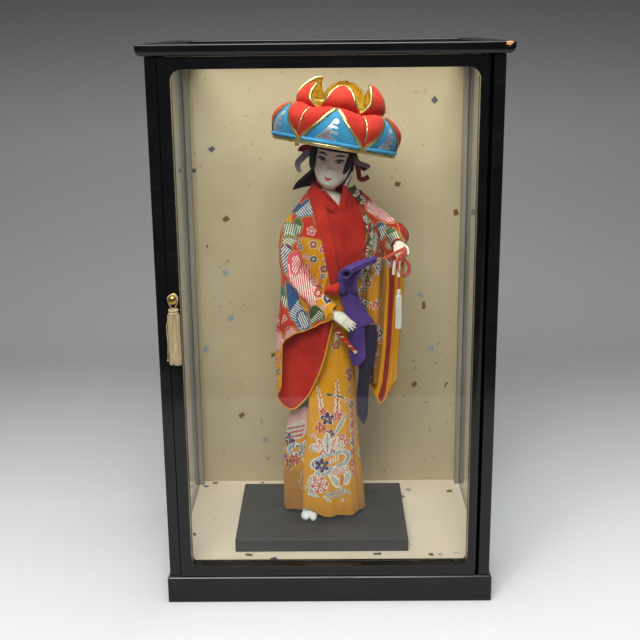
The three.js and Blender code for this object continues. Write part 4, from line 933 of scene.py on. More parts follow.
def skirt_dye(across, up):
    """Flower heads, a fan of leaves over a pool, and blossoms on yellow."""
    work = Dyework(across, up, YELLOW)
    work.wash(smooth(200, 262, up) * 0.3, OCHRE)
    work.spike(1.2, 126, 154, ink(206, 80, 70), -0.14, 2.8)
    work.spike(18.4, 121, 161, PINK, -0.01, 4.2)
    work.star(2.4, 126.4, 4.6, RED, 20, 5)
    work.leaf(10, 145.4, 7, 1.3, -10, DARK_GREEN)
    work.leaf(22, 142, 8, 1.2, -22, DARK_GREEN)
    work.blossom(30.5, 136, 3.0, RED, 10, 4)
    work.star(17.6, 120.6, 6.6, PINK, 90, 5)
    work.star(0.1, 108.6, 6.6, RED, 40, 5)
    work.star(7, 118.5, 7.4, PURPLE, 20, 5)
    work.leaf(21.5, 109.5, 16, 2.9, 58, WHITE, DARK_GREEN)
    work.star(9.6, 101, 5.4, PURPLE, 65, 5)
    work.blossom(-8.6, 99, 3.0, PINK, 10)
    work.blossom(23.6, 95.6, 4.4, PINK, 20)
    work.blossom(29, 89, 4.8, PINK, 50)
    work.scroll(-7.8, 85.2, 4.6, BLUE)
    work.scroll(22, 86.6, 4.2, BLUE, -1)
    for turn, reach, stroke in [(152, 8.5, PINK), (28, 8.5, PINK), (124, 9.5, RED), (56, 9.5, RED),
                                (90, 11, DARK_GREEN)]:
        c, s = spoke(turn)
        work.leaf(6.8 + reach * c, 80 + reach * s, reach + 1.6, 4.6, turn, ink(196, 96, 70))
        work.leaf(6.8 + reach * c, 80 + reach * s, reach + 0.4, 3.7, turn, WHITE, stroke)
    work.blossom(1.6, 79.4, 4.0, RED, 15)
    work.blossom(12.4, 79.6, 4.0, RED, 40)
    work.pool(12.4, 69.4, 24.4, 10.6, 12, BLUE, 0.62)
    work.pool(4, 57.4, 13, 4.6, 16, BLUE, 0.2)
    for shift in (-4, -1, 2, 5):
        work.leaf(14 + shift, 70.4 + shift * 0.2, 3.6, 0.5, 86, OCHRE)
    work.star(0.6, 64.6, 8.2, PURPLE, 30, 6)
    work.scroll(16.5, 57, 4.9, PINK)
    work.scroll(26.6, 57.8, 4.9, PINK, -1)
    work.patch([(8, 53), (14, 52), (22, 44), (20, 38), (14, 41)], WHITE, 50, DARK_GREEN, WHITE, 0, 2.1)
    work.patch([(25, 43), (26.5, 52), (33, 54), (33.5, 47), (28.5, 40)], WHITE, 130, DARK_GREEN, WHITE, 0, 2.1)
    work.leaf(23.3, 45.6, 8.4, 2.8, 84, ORANGE)
    work.leaf(-12.5, 48, 6.5, 2.4, 70, GREEN, WHITE)
    work.leaf(-13.4, 35.6, 7.5, 2.8, 130, DARK_GREEN, WHITE)
    work.leaf(-9.5, 29.6, 6.5, 2.2, 165, PALE_BLUE, WHITE)
    work.blossom(-2.1, 41.5, 10, PINK, 12, 6, ORANGE, 0.3)
    for turn in range(42, 402, 60):
        c, s = spoke(turn)
        work.leaf(-2.1 + 6.4 * c, 41.5 + 6.4 * s, 3.0, 1.9, turn, WHITE)
        work.leaf(-2.1 + 6.4 * c, 41.5 + 6.4 * s, 2.3, 1.1, turn, RED)
    work.leaf(6, 25.4, 5.6, 2.0, -35, GREEN, WHITE)
    work.stream(4, 34, 28.6, 3, BLUE)
    work.leaf(36, 108, 9, 1.5, 84, PALE_BLUE)
    work.leaf(37, 86, 9, 1.6, 96, PINK, WHITE)
    work.blossom(24, 22, 1.9, BLUE)
    work.leaf(17.4, 210, 5.6, 2.2, 88, WHITE)
    work.star(17.3, 200, 5.4, ink(160, 62, 34), 90, 5)
    for x, z, colour in [(33.4, 168, DEEP_RED), (34.6, 161, DEEP_RED), (34.4, 148, ORANGE), (37.6, 130, BLUE),
                         (38, 118, PINK), (39, 107, RED), (39.6, 96, PINK), (39, 87, MAUVE), (38.6, 76, RED),
                         (37.4, 63, RED), (40, 52, PINK)]:
        work.star(x, z, 5.0, colour, z * 3, 5)
    rng = np.random.default_rng(5)
    for start in np.arange(48, 250, 34):
        work.scatter(rng, 5, start, start + 30, 46, 130, 5.0, [RED, PINK, PURPLE, BLUE])
        work.star(start + 12, 142, 6, PURPLE, 15, 5)
        work.pool(start + 15, 72, 15, 8, 10, BLUE, 0.55)
        work.leaf(start + 6, 104, 12, 3, 70, WHITE, DARK_GREEN)
        work.leaf(start + 24, 50, 9, 4, 50, PALE_BLUE, WHITE)
    # Darker ochre low down towards both sides: painted shade where the skirt turns away; the cloth is also darker ochre
    # along the hem.
    work.wash(smooth(60, 20, up) * smooth(30, 44, np.abs(across - 5)) * 0.35 + smooth(24, 8, up) * 0.4, OCHRE)
    return work


def under_dye(work):
    """The inner end of the wrap, which shows at the left behind the open edge."""
    work.patch([(-25, 124), (-15, 124), (-12, 140), (-19, 144)], ink(120, 112, 120), 70, NAVY, MAUVE, 0.1, 3.2)
    work.patch([(-43, 102), (-37, 114), (-27, 122), (-15, 126), (-14, 112), (-28, 106), (-38, 97)], PINK, 30, WHITE,
               WHITE, 0.1)
    work.patch([(-41, 96), (-28, 106), (-13, 111), (-13, 95), (-28, 89), (-37, 89)], ink(206, 196, 190), 20, RED,
               WHITE, 0, 5)
    work.star(-31, 86.3, 8.4, PURPLE, 0, 4)
    work.pool(-20, 77, 14, 8.4, 14, NAVY, 0.35)
    work.star(-37, 64, 6.4, MAUVE, 40, 5)
    work.star(-21, 66, 6.4, RED, 10, 5)
    work.star(-29, 59, 6.4, DEEP_RED, 70, 5)
    work.leaf(-40, 72, 6, 2, 60, GREEN, WHITE)


def skirt_piece(name, u, v, front):
    place, angle = skirt_grid(u, v)
    run = skirt_map(place)
    if front:
        middle = np.argmin(np.abs(np.degrees(angle[0]) + 450))
        across = run[:, middle:middle + 1] - run + place[:, middle:middle + 1, 0]
    else:
        left = np.argmin(np.abs(np.degrees(angle[0]) + 180))
        across = run[:, left:left + 1] - run - 40
        across = np.where(across < -60, -across - 20, across)
    work = skirt_dye(across, place[..., 2])
    if not front:
        under_dye(work)
        work.wash(smooth(0.34, 0.22, u) * smooth(58, 50, place[..., 2]) * 0.8, OCHRE)
        # Grey-brown over the inner end of the wrap: painted shade of the front panel over it, and partly a duller print
        # there.
        work.wash(smooth(0.34, 0.24, u) * 0.14, ink(92, 66, 56))
    piece = Piece(name)
    flat = stacked(across, place[..., 2])
    lay_cloth(piece, place[:, ::-1], 1.1, DYED, BACK_CLOTH, work.dye[:, ::-1], work.line[:, ::-1], flat[:, ::-1], 3,
              YELLOW_EDGE)
    return piece


heights = column(0, 1, 300)
open_edge = np.interp(heights, [0.04, 0.33, 0.54, 1], [0.992, 0.985, 1, 1])
outer = skirt_piece("robe_skirt_front", mix(0.64, open_edge, row(0, 1, 215)), heights, True)
edge, _ = skirt_grid(open_edge, heights)
tube(outer, edge[3:-3:2, 0] + [0, -0.4, 0], 0.75, YELLOW_EDGE, 8)
skirt_front = dress(outer.made())
wrapped = dress(skirt_piece("robe_skirt_wrap", row(0, 0.643, 260), column(0, 1, 200), False).made(),
                "robe_skirt")


# Upper body: trunk, under-robe, collars and the open robe

WAIST = 262.4
TRUNK = [(206, 4, 3, 23.5, 16.5), (262, 11, 2, 29.5, 18.8), (280, 16.5, 1, 36.4, 21.6), (300, 18, 0, 40.6, 24),
         (332, 15.8, 1, 42, 21), (350, 16.6, 2, 35.6, 17), (367, 15.5, 1, 21, 15)]


def trunk_sizes(z, offset):
    cx, cy, rx, ry = along(TRUNK, z - offset * 0.6 * smooth(262, 362, z))
    return cx, cy, rx + offset, ry + offset, math.radians(18) * smooth(262, 322, z)


def trunk_at(angle, z, offset=0.0):
    cx, cy, rx, ry, turn = trunk_sizes(z, offset)
    x, y = rx * np.cos(angle), ry * np.sin(angle)
    return stacked(cx + x * np.cos(turn) - y * np.sin(turn), cy + x * np.sin(turn) + y * np.cos(turn), z)


def front_angle(x, z, offset=0.0):
    """Where on the trunk's front a place with this x lies."""
    cx, _, rx, ry, turn = trunk_sizes(z, offset)
    wide = np.hypot(rx * np.cos(turn), ry * np.sin(turn))
    shift = np.arctan2(ry * np.sin(turn), rx * np.cos(turn))
    return -np.arccos(np.clip((x - cx) / wide, -0.995, 0.995)) - shift


def open_left(z):
    return np.interp(z, [261, 313, 366], [12.5, 3.5, -12])


def open_right(z):
    return np.interp(z, [261, 285, 307, 328, 349, 361, 366], [48, 54, 56.5, 54.5, 50, 40, 36])


def sleeve_dye(across, up):
    """The right half of the robe: pine clouds on red, and blossoms on yellow towards the cuff."""
    work = Dyework(across, up, RED)
    rng = np.random.default_rng(3)
    for outline in [
            [(-23, 316), (-16, 318), (-4, 316), (7, 314), (12, 301), (13, 286), (12, 274), (23, 254), (22, 240),
             (7, 237), (-2, 248), (-5, 263), (-10, 281), (-18, 288), (-20, 301)],
            [(-34, 336), (-29, 343), (-29, 335), (-30, 330), (-35, 330)],
            [(-20, 256), (-14, 250), (-12, 245), (-15, 243), (-20, 250)],
            [(-54, 193), (-45, 195), (-42, 181), (-38, 159), (-44, 140), (-54, 140)]]:
        work.patch(outline, YELLOW, edge=TAN)
    work.wash(smooth(255, 246, up) * smooth(2, 8, across), YELLOW)
    work.patch([(-29, 346), (-24, 351), (-18, 351), (-14, 355), (-7, 357), (-5, 350), (-5, 342), (-12, 340),
                (-18, 338), (-23, 339), (-28, 341)], BLUE, -48, keep=0.34)
    work.patch([(-5, 346), (-2, 345), (2, 339), (4, 331), (2, 328), (-2, 332), (-5, 337)], NAVY, -45, keep=0.2)
    work.patch([(-37, 329), (-32, 331), (-27, 331), (-24, 336), (-19, 337), (-17, 329), (-20, 322), (-25, 317),
                (-30, 318), (-38, 317)], GREEN, -105, keep=0.3)
    work.patch([(-39, 315), (-29, 317), (-25, 313), (-30, 307), (-38, 308)], GREEN, -30, keep=0.0)
    work.patch([(-40, 308), (-32, 309), (-28, 304), (-30, 296), (-33, 288), (-34, 280), (-37, 282), (-41, 297)],
               PURPLE, -130, keep=0.12)
    work.patch([(-33, 294), (-31, 300), (-23, 302), (-19, 297), (-17, 288), (-11, 281), (-6, 270), (-3, 259),
                (-4, 250), (-10, 249), (-14, 256), (-19, 259), (-27, 268), (-32, 275), (-33, 284)], PINK, -82,
               keep=0.2, pitch=2.2)
    work.patch([(-29, 296), (-23, 299), (-20, 294), (-19, 287), (-24, 280), (-29, 283)], PINK, -122, edge=PINK,
               keep=0.05)
    work.patch([(-41, 268), (-37, 266), (-34, 254), (-35, 245), (-38, 246), (-42, 256)], ink(70, 110, 96), -100,
               keep=0.5)
    work.patch([(-35, 272), (-29, 269), (-23, 264), (-21, 254), (-19, 246), (-14, 240), (-10, 233), (-9, 224),
                (-16, 219), (-22, 221), (-26, 229), (-31, 235), (-33, 245), (-34, 254), (-35, 263)], BLUE, -32,
               keep=0.42, pitch=2.4)
    work.patch([(-24, 238), (-19, 242), (-13, 237), (-11, 230), (-12, 224), (-18, 222), (-23, 229)], BLUE, -68,
               edge=BLUE, keep=0.05)
    work.patch([(-11, 243), (-8, 248), (-4, 250), (1, 246), (5, 239), (3, 234), (-4, 232), (-10, 228)], DARK_GREEN,
               -40, keep=0.45)
    work.patch([(-38, 209), (-35, 222), (-28, 224), (-22, 216), (-24, 210), (-33, 205)], PINK, -42, keep=0.15)
    work.patch([(-53, 195), (-52, 216), (-44, 219), (-40, 213), (-38, 202), (-44, 196)], PINK, -60, keep=0.2)
    for x, y, size, colour in [(-8, 325, 4.6, PINK), (-6, 311, 4.6, DEEP_RED), (-22, 314, 3.2, RED),
                               (-20, 307, 3.2, NAVY), (-6, 295, 4.4, NAVY), (4, 306, 4.4, PINK),
                               (8.5, 294, 4.2, BLUE), (5, 284, 5.0, DEEP_RED), (3.5, 276, 3.2, BLUE),
                               (-14, 297, 3.0, PINK), (-12, 287, 3.4, RED), (-1.5, 262, 5.6, RED),
                               (8.8, 256.5, 5.4, NAVY), (3.6, 248, 2.8, PINK), (-5, 270, 3.2, PINK),
                               (-38, 233, 3.4, RED), (-45.5, 184.5, 3.6, RED), (-44.6, 172, 3.8, NAVY),
                               (-48, 163, 2.8, RED), (-30, 200, 3.2, PINK), (-44, 228, 4.4, PINK),
                               (-33, 320, 0.1, RED)]:
        work.blossom(x, y, size, colour, rng.uniform(0, 70), core=ORANGE if colour is not NAVY else PALE_BLUE)
    work.wash(smooth(150, 140, up), YELLOW)
    return work


def left_dye(across, up):
    """The left half of the robe: pine clouds above, and strewn blossoms on ochre below."""
    work = Dyework(across, up, ink(178, 36, 22))
    rng = np.random.default_rng(8)
    work.patch([(48, 352), (56, 351), (66, 345), (76, 338), (80, 331), (74, 329), (64, 333), (56, 338), (50, 343)],
               PINK, -40, keep=0.1, pitch=2.0)
    work.patch([(58, 326), (64, 330), (71, 326), (70, 317), (64, 311), (58, 315)], BLUE, -65, keep=0.25)
    work.patch([(70, 322), (76, 325), (84, 319), (82, 309), (76, 301), (70, 304), (71, 312)], GREEN, -60, keep=0.2)
    # This patch on the shoulder is dyed a darker red than the robe's red: painted shade on the top of the shoulder.
    work.patch([(82, 331), (90, 330), (95, 322), (94, 312), (86, 318)], ink(150, 28, 18), edge=TAN)
    work.patch([(46, 338), (52, 334), (57, 326), (54, 320), (47, 326)], DARK_GREEN, -60, keep=0.4)
    work.patch([(50, 316), (57, 314), (58, 304), (52, 302), (49, 308)], NAVY, -60, keep=0.3)
    work.patch([(67, 292), (73, 293), (76, 285), (74, 276), (68, 278)], PURPLE, -130, keep=0.2)
    work.patch([(88, 310), (95, 309), (96, 300), (90, 298)], DARK_GREEN, -60, keep=0.3)
    work.wash(smooth(284, 276, up) * smooth(74, 68, across), ink(150, 92, 26))
    work.wash(smooth(284, 276, up) * smooth(68, 74, across), ink(188, 126, 34))
    for x, y, size, colour in [(52, 284, 4, RED), (58, 270, 4.4, DEEP_RED), (66, 284, 3.6, NAVY),
                               (63, 250, 4.4, PINK), (54, 244, 4, RED), (62, 228, 3.8, PURPLE), (58, 212, 3.8, PINK),
                               (64, 196, 3.6, NAVY), (58, 184, 3.6, RED), (67, 272, 3.8, PINK), (60, 296, 3.4, PINK),
                               (66, 236, 3.4, RED), (60, 168, 3.4, PINK), (86, 334, 2.6, WHITE)]:
        work.blossom(x, y, size, colour, rng.uniform(0, 70), core=ORANGE)
    return work


def upper_robe():
    z = column(WAIST, 361, 150)
    u = row(0, 1, 250)
    start = front_angle(open_left(z) - 0.5, z, 2.4)
    end = front_angle(open_right(z) + 0.5, z, 2.4) - 2 * math.pi
    angle = mix(start, end, u)
    crease = 0.9 * np.sin(26 * angle + 0.06 * z) * smooth(300, 268, z) + 0.5 * np.sin(9 * angle + z * 0.12)
    grid = trunk_at(angle, z, 2.4)
    grid = grid + outward(grid) * -crease[..., None]
    right = sleeve_dye(grid[..., 0], grid[..., 2])
    left = left_dye(grid[..., 0] + 4, grid[..., 2])
    side = (grid[..., 0] > 20)[..., None]
    dye, line = np.where(side, left.dye, right.dye), np.where(side[..., 0], left.line, right.line)
    piece = Piece("robe_upper_half")
    flat = stacked(angle * 32, z)
    lay_cloth(piece, grid[:, ::-1], 1.2, DYED, RED_LINING, dye[:, ::-1], line[:, ::-1], flat[:, ::-1], 3)
    return piece.made()


robe_top = dress(upper_robe(), "robe_upper")


def under_robe():
    x = row(-15, 56, 130)
    v = column(0, 1, 120)
    top = 349 + np.where(x < 21, (21 - x) * 27 / 23, (x - 21) * 27 / 6)
    top = np.minimum(top, 365)
    z = mix(WAIST, top, v)
    angle = front_angle(x, z, 0.4)
    pull = 0.5 * np.sin(0.5 * x + 0.09 * z) * smooth(345, 280, z) + 0.5 * np.sin(0.23 * x - 0.05 * z)
    grid = trunk_at(angle, z, 0.4)
    grid = grid + outward(grid) * pull[..., None]
    piece = Piece("red_under-robe")
    lay_cloth(piece, grid, 1.0, RED_SILK, RED_LINING, laid=stacked(x, z), coarse=4)
    for sx, foot, head, wide in [(-1, (26, 342.5), (-4, 371.5), 8.5), (1, (19.2, 342.5), (25.5, 372), 8.0)]:
        t = column(0, 1, 70)
        a = row(0, 1, 16)
        line_x = mix(foot[0], head[0], t) + sx * 1.5 * np.sin(math.pi * t)
        line_z = mix(foot[1], head[1], t)
        bx = line_x + sx * wide * a * 0.62
        bz = line_z - wide * a * 0.62
        rise = 1.3 + 1.5 * np.sqrt(np.clip(1 - (2 * a - 1) ** 4, 0, 1)) + (0.8 if sx < 0 else 0)
        rise = (rise + 2.0 * smooth(0.7, 1, t)) * smooth(0, 0.3, t) - 1.2 * smooth(0.3, 0, t)
        band = trunk_at(front_angle(bx, np.minimum(bz, 366), 0.4), bz, 0.4)
        band = band + np.array([0, -1, 0]) * rise[..., None]
        band = band[:, ::-1] if sx > 0 else band
        lay_cloth(piece, band[:, ::-1], 1.2, COLLAR_SILK, COLLAR_SILK, coarse=2)
    turn = row(-0.55, math.pi + 0.45, 90)
    s = column(0, 1, 20)
    lean = 1 + 0.06 * s
    nape = stacked(11 + 16.6 * lean * np.cos(turn), 3.5 + (14.5 + 2 * s) * np.sin(turn),
                   mix(350, 370.5, s) + 0.8 * np.sin(turn))
    lay_cloth(piece, nape[:, ::-1], 1.2, COLLAR_SILK, COLLAR_SILK, coarse=2)
    return piece.made()


robe_under = dress(under_robe(), "red_under_robe")


def collar_dye(across, up):
    """The robe's own collar on its left side: small blossoms on a dark olive-green ground, dark partly as painted shade
    over the collar.
    """
    work = Dyework(across, up, ink(70, 66, 34))
    rng = np.random.default_rng(12)
    for z in np.arange(266, 366, 8.5):
        x = open_right(z) - rng.uniform(2, 5.5)
        work.blossom(x, z, rng.uniform(2.0, 2.8), [DEEP_RED, OCHRE, NAVY][rng.integers(3)], rng.uniform(0, 70))
        work.leaf(x + rng.uniform(-2, 2), z + 4.2, 2.6, 0.9, rng.uniform(20, 160), GREEN)
    work.patch([(50, 300), (58, 303), (59, 294), (55, 284), (50, 288)], NAVY, -60, keep=0.1, pitch=2.0)
    return work


def collar_band(name, node, edge, inward, wide, dyed=None):
    z = column(WAIST, 367, 130)
    a = row(0, 1, 26)
    x = edge(z) + inward * (wide(z) * a - 0.6)
    rise = 0.4 + 2.6 * np.clip(1 - (2 * a - 1) ** 6, 0, 1) ** 0.5
    soft = 0.5 * np.sin(0.16 * z + 2.2 * a)
    order = slice(None, None, inward)
    grid = trunk_at(front_angle(x, z, 0.6), z, 0.6)
    grid = grid + outward(grid[:, order])[:, order] * (rise + soft)[..., None]
    piece = Piece(name)
    work = dyed(x, z) if dyed else None
    lay_cloth(piece, grid[:, order], 1.4, DYED if dyed else COLLAR_SILK, RED_LINING, work and work.dye[:, order],
              work and work.line[:, order], stacked(x, z)[:, order], 2)
    return dress(piece.made(), node)


collar_right = collar_band("right_collar_band_cloth", "right_collar_band", open_left, 1,
                           lambda z: mix(11, 15, smooth(262, 350, z)))
collar_left = collar_band("left_collar_band_cloth", "left_collar_band", open_right, -1, lambda z: 7.5, collar_dye)


# Sleeves

def limb_grid(path, radius, sides, wrinkle):
    """Rings along a limb, with a wrinkle added to the radius at each share of its length and angle."""
    n = len(path)
    tangent = unit(np.gradient(path, axis=0))
    side = unit(np.cross(tangent, [0, -1, 0.2]))
    up = np.cross(tangent, side)
    angle = full_turn(sides)
    t = np.linspace(0, 1, n)
    reach = radius(t)[:, None] + wrinkle(t[:, None], angle[None])
    return path[:, None] + reach[..., None] * (side[:, None] * np.cos(angle)[None, :, None]
                                               + up[:, None] * np.sin(angle)[None, :, None])


RIGHT_ARM = [(-8, 3, 340), (-27, -1, 314), (-29.5, -14, 281), (-14, -27, 259), (12, -36, 241)]
LEFT_ARM = [(40, 9, 344), (55, 7.5, 333.5), (69, 5.5, 324), (79.5, -1, 318), (82.6, -11, 314.6), (82.4, -18.5, 309)]
FRONT_EDGE = [(-52, 141), (-48.2, 146.5), (-45.2, 151.5), (-43.6, 161), (-42.8, 180), (-42.2, 196), (-40, 204.5),
              (-35, 211), (-16, 220.5), (0, 229.5), (14, 235)]
BACK_EDGE = [(-51, 146), (-45, 133.5), (-36, 126.5), (-23, 133.5), (-11.4, 149), (-1.8, 171), (6.4, 197), (14, 231)]


def sleeve_tube(piece, path, radius, wrinkle, dye, cuff):
    """A sleeve along an arm, with a lined opening and a corded cuff."""
    rows, sides = 210, 140
    grid = limb_grid(curve_through(path, rows), radius, sides, wrinkle)
    work = dye(grid[..., 0], grid[..., 2])
    flat = stacked(row(0, 70, sides), column(0, 120, rows))
    piece.skin(grid, lattice(rows, sides, True), DYED, work.dye, work.line, flat)
    inner = grid[-1] + (grid[-1].mean(0) - grid[-1]) * 0.16
    deep = grid[-8] + (grid[-8].mean(0) - grid[-8]) * 0.3
    throat = np.stack([grid[-1], inner, deep])
    piece.skin(throat, lattice(3, sides, True), RED_LINING)
    tube(piece, np.vstack([grid[-1], grid[-1][:2]]), 0.7, cuff, 8)


def right_wrinkle(t, angle):
    bent = bell(t, 0.56, 0.16)
    return (bent * 0.9 * np.sin(34 * t + 1.5 * np.cos(angle)) * (0.5 + 0.5 * np.cos(angle + 2))
            + 0.6 * np.sin(3 * angle + 9 * t) * smooth(0.05, 0.2, t)
            + 0.4 * np.sin(60 * t + 2 * np.sin(angle)) * bent)


def right_sleeve():
    piece = Piece("right_sleeve_cloth")
    sleeve_tube(piece, RIGHT_ARM, lambda t: mix(16.5, 11.9, smooth(0, 0.5, t)) - 2.2 * smooth(0.85, 1, t),
                right_wrinkle, sleeve_dye, YELLOW_EDGE)
    u = row(0, 1, 190)
    axis_y = -10 - 26 * u ** 0.7
    axis_z = mix(286, 241, u)
    reach = mix(11.6, 10.2, u)
    rows = column(0, 1, 150)
    bottom = along(FRONT_EDGE, mix(-48.5, 13.5, u))[0]
    fall = np.clip(rows / 0.68, 0, 1)
    edge = np.interp(fall, [0, 0.15, 0.32, 0.53, 0.66, 0.9, 1], [-47, -48.8, -48.4, -46.5, -42.8, -40, -37])
    x = mix(edge, 13.5, u)
    lap = np.clip((rows - 0.68) / 0.32, 0, 1) * math.radians(150)
    z = mix(bottom, axis_z, fall) + reach * np.sin(lap)
    low = 1 - fall
    fold = (1.5 * np.sin(15 * u + 0.6) + 0.7 * np.sin(31 * u + 2.5 * low)) * smooth(0, 0.7, low)
    y = axis_y - reach * np.cos(lap) + fold + 3.5 * low ** 1.5 + 1.2 * np.sin(9 * u - 5 * low) * np.sin(math.pi * low)
    bulge = -3.0 * bell(u, 0.0, 0.1) * (1 - 0.5 * low) + 3 * smooth(0.06, 0.0, u)
    sheet = stacked(x, y + bulge, z)
    work = sleeve_dye(sheet[..., 0], sheet[..., 2])
    lay_cloth(piece, sheet, 1.0, DYED, RED_LINING, work.dye, work.line, sheet[..., [0, 2]], 3, YELLOW_EDGE)
    tube(piece, sheet[0] + [0, -0.3, 0], 0.7, YELLOW_EDGE, 8)
    return piece.made()


def right_sleeve_back():
    piece = Piece("right_sleeve_back")
    u = row(0, 1, 150)
    v = column(1, 0, 130)
    x = mix(np.interp(1 - v, [0, 0.15, 0.32, 0.53, 0.66, 0.9, 1], [-46.5, -47, -46, -43.5, -40, -35, -32]), 13.6, u)
    bottom = along(BACK_EDGE, x)[0]
    top = mix(283, 240, u)
    z = mix(top, bottom, v)
    y = -8 - 26 * u ** 0.7 + 4 * v + (1.8 * np.sin(13 * u + 0.4) + 0.8 * np.sin(26 * u + 3 * v)) * v
    y = y - 2.5 * bell(v, 1, 0.12) - 2.6 * smooth(0.3, 0.5, u) * smooth(0.98, 0.8, u) * smooth(0.1, 0.5, v)
    sheet = stacked(x, y, z)
    lay_cloth(piece, sheet, 1.2, RED_LINING, BACK_CLOTH, laid=sheet[..., [0, 2]], coarse=2)
    work = sleeve_dye(sheet[..., 0], sheet[..., 2])
    behind = sheet - outward(sheet) * 2.0
    piece.skin(behind, lattice(*behind.shape[:2])[:, ::-1], DYED, work.dye, work.line, behind[..., [0, 2]])
    tube(piece, sheet[0] + [0, 0.4, 0], 1.0, YELLOW_EDGE, 8)
    return piece.made()


sleeve_right = dress(right_sleeve(), "right_sleeve")
sleeve_right_back = dress(right_sleeve_back())


def left_wrinkle(t, angle):
    return (0.8 * np.sin(3 * angle + 12 * t) * smooth(0.05, 0.25, t)
            + bell(t, 0.62, 0.2) * 0.7 * np.sin(38 * t + 1.2 * np.cos(angle)))


def left_sleeve():
    piece = Piece("left_sleeve_cloth")
    sleeve_tube(piece, LEFT_ARM, lambda t: mix(15.8, 11.6, smooth(0, 0.5, t)) - 4.2 * smooth(0.82, 1, t),
                left_wrinkle, left_dye, RED_LINING)
    u = row(0, 1, 170)
    v = column(1, 0, 170)
    bottom = along([(0, 148), (0.2, 138), (0.42, 128.5), (0.68, 137), (1, 158)], u)[0]
    x = mix(np.interp(v, [0, 0.3, 0.66, 0.9, 1], [64, 65.5, 62.5, 56, 54.5]),
            np.interp(v, [0, 0.3, 0.66, 0.9, 1], [90, 88.5, 84.5, 82, 81.5]), u)
    fold = (3.2 * np.cos(3 * math.pi * u) + 0.9 * np.cos(11 * math.pi * u + 2 * v)) * smooth(0.05, 0.5, v)
    y = 2 - 4 * u + fold - 9 * smooth(0.25, 0.0, v)
    z = mix(mix(322, 313, u), bottom, v)
    sheet = stacked(x, y, z)
    work = left_dye(x, z)
    low = smooth(284, 277, z)
    middle = np.interp(v, [0, 0.5, 0.87, 1], [0.5, 0.5, 0.55, 0.42])
    work.lay(np.maximum((middle - 0.33 - u) * 30, 4 * (1 - low) - 2), YELLOW, False)
    work.lay(np.maximum((np.abs(u - middle) - 0.13) * 30, 4 * (1 - low) - 2), DEEP_RED, False)
    seam = np.minimum(np.abs(u - middle + 0.33), np.abs(u - middle + 0.13))
    work.wash(smooth(0.014, 0.0, seam) * low * 0.8, DEEP_RED)
    plain = smooth(0.34, 0.32, middle - u) * low
    work.line = np.where(plain > 0.5, 9.0, work.line)
    lay_cloth(piece, sheet, 3.6, DYED, DYED, work.dye, work.line, stacked(x, z), 2, YELLOW_EDGE)
    tube(piece, sheet[0] + [0, 0.6, 0], 1.3, YELLOW_EDGE, 8)
    tube(piece, sheet[:, -1] + [0.2, 0.6, 0], 1.2, YELLOW_EDGE, 8)
    return piece.made()


sleeve_left = dress(left_sleeve(), "left_sleeve")


def robe_fold():
    """The robe's left front, hanging loose between the sash and the sleeve."""
    u = row(0, 1, 110)
    v = column(0, 1, 170)
    left = curve_through([(44, -8, 150), (38, -12, 196), (33, -16, 226), (31, -18, 256), (37, -17, 286),
                          (48, -10, 314), (52, -6, 330)], 170)
    right = curve_through([(63, -2, 152), (67, -4, 196), (69, -6, 240), (69, -7, 282), (68, -5, 312), (66, 0, 330)],
                          170)
    grid = left[:, None] * (1 - u[..., None]) + right[:, None] * u[..., None]
    fold = 3.4 * np.sin(3.6 * math.pi * u + 1.6 + 2.6 * v) * mix(1.0, 0.7, v) + 1.2 * np.sin(8 * math.pi * u - 5 * v)
    sag = 1.6 * np.sin(9 * v + 5 * u) * bell(v, 0.6, 0.2)
    grid = grid + np.array([0, 1, 0]) * (fold + sag)[..., None]
    work = Dyework(grid[..., 0] + 3 * u, grid[..., 2], ink(206, 132, 16))
    rng = np.random.default_rng(31)
    work.wash(smooth(270, 292, grid[..., 2]), ink(150, 34, 24))
    work.patch([(50, 318), (58, 322), (64, 312), (60, 300), (51, 304)], NAVY, -60, keep=0.15, pitch=2.2)
    work.patch([(58, 296), (66, 300), (70, 288), (66, 276), (58, 282)], DEEP_RED, -70, keep=0.3, pitch=2.4)
    work.patch([(40, 286), (48, 292), (54, 282), (50, 270), (42, 272)], DARK_GREEN, -50, keep=0.25, pitch=2.2)
    for z in np.arange(160, 300, 12.5):
        for x in (rng.uniform(36, 50), rng.uniform(52, 68)):
            colour = [DEEP_RED, RED, NAVY, PINK, PURPLE][rng.integers(5)]
            z_here = z + rng.uniform(-6, 6)
            work.blossom(x, z_here, rng.uniform(2.2, 5.2), colour, rng.uniform(0, 70), core=ORANGE)
            work.leaf(x + rng.uniform(-5, 5), z_here + rng.uniform(4, 7), 3.4, 1.1, rng.uniform(0, 180), DARK_GREEN)
    # Dark brown where the folds sink back: painted shade in the fold valleys.
    work.wash(smooth(-1.5, 2.5, fold) * 0.62, ink(58, 34, 22))
    # Darker brown towards the bottom: painted shade low down behind the sash.
    work.wash(smooth(235, 175, grid[..., 2]) * 0.5, ink(66, 40, 24))
    piece = Piece("robe_left_front")
    lay_cloth(piece, grid, 1.0, DYED, RED_LINING, work.dye, work.line, grid[..., [0, 2]], 3, YELLOW_EDGE)
    return piece.made()


left_front = dress(robe_fold())


# Hat: puffed red petals and blue panels set round the brim, and a lotus crown lined with gold

def felt(name, light, dark):
    def look(w):
        soft = w.noise(w.placed(), 45.0, 3.0).ease(0.3, 0.7)
        nap = w.noise(w.placed(), 2600.0, 2.0)
        return {"Base Color": (soft * 0.75 + nap * 0.25).between(rgba(light), rgba(dark)),
                "Roughness": soft.ease(0.0, 1.0, 0.72, 0.86),
                "Normal": nap.raised(0.00008, 0.5)}
    return finish(name, look, Sheen_Weight=0.08, Specular_IOR_Level=0.25)


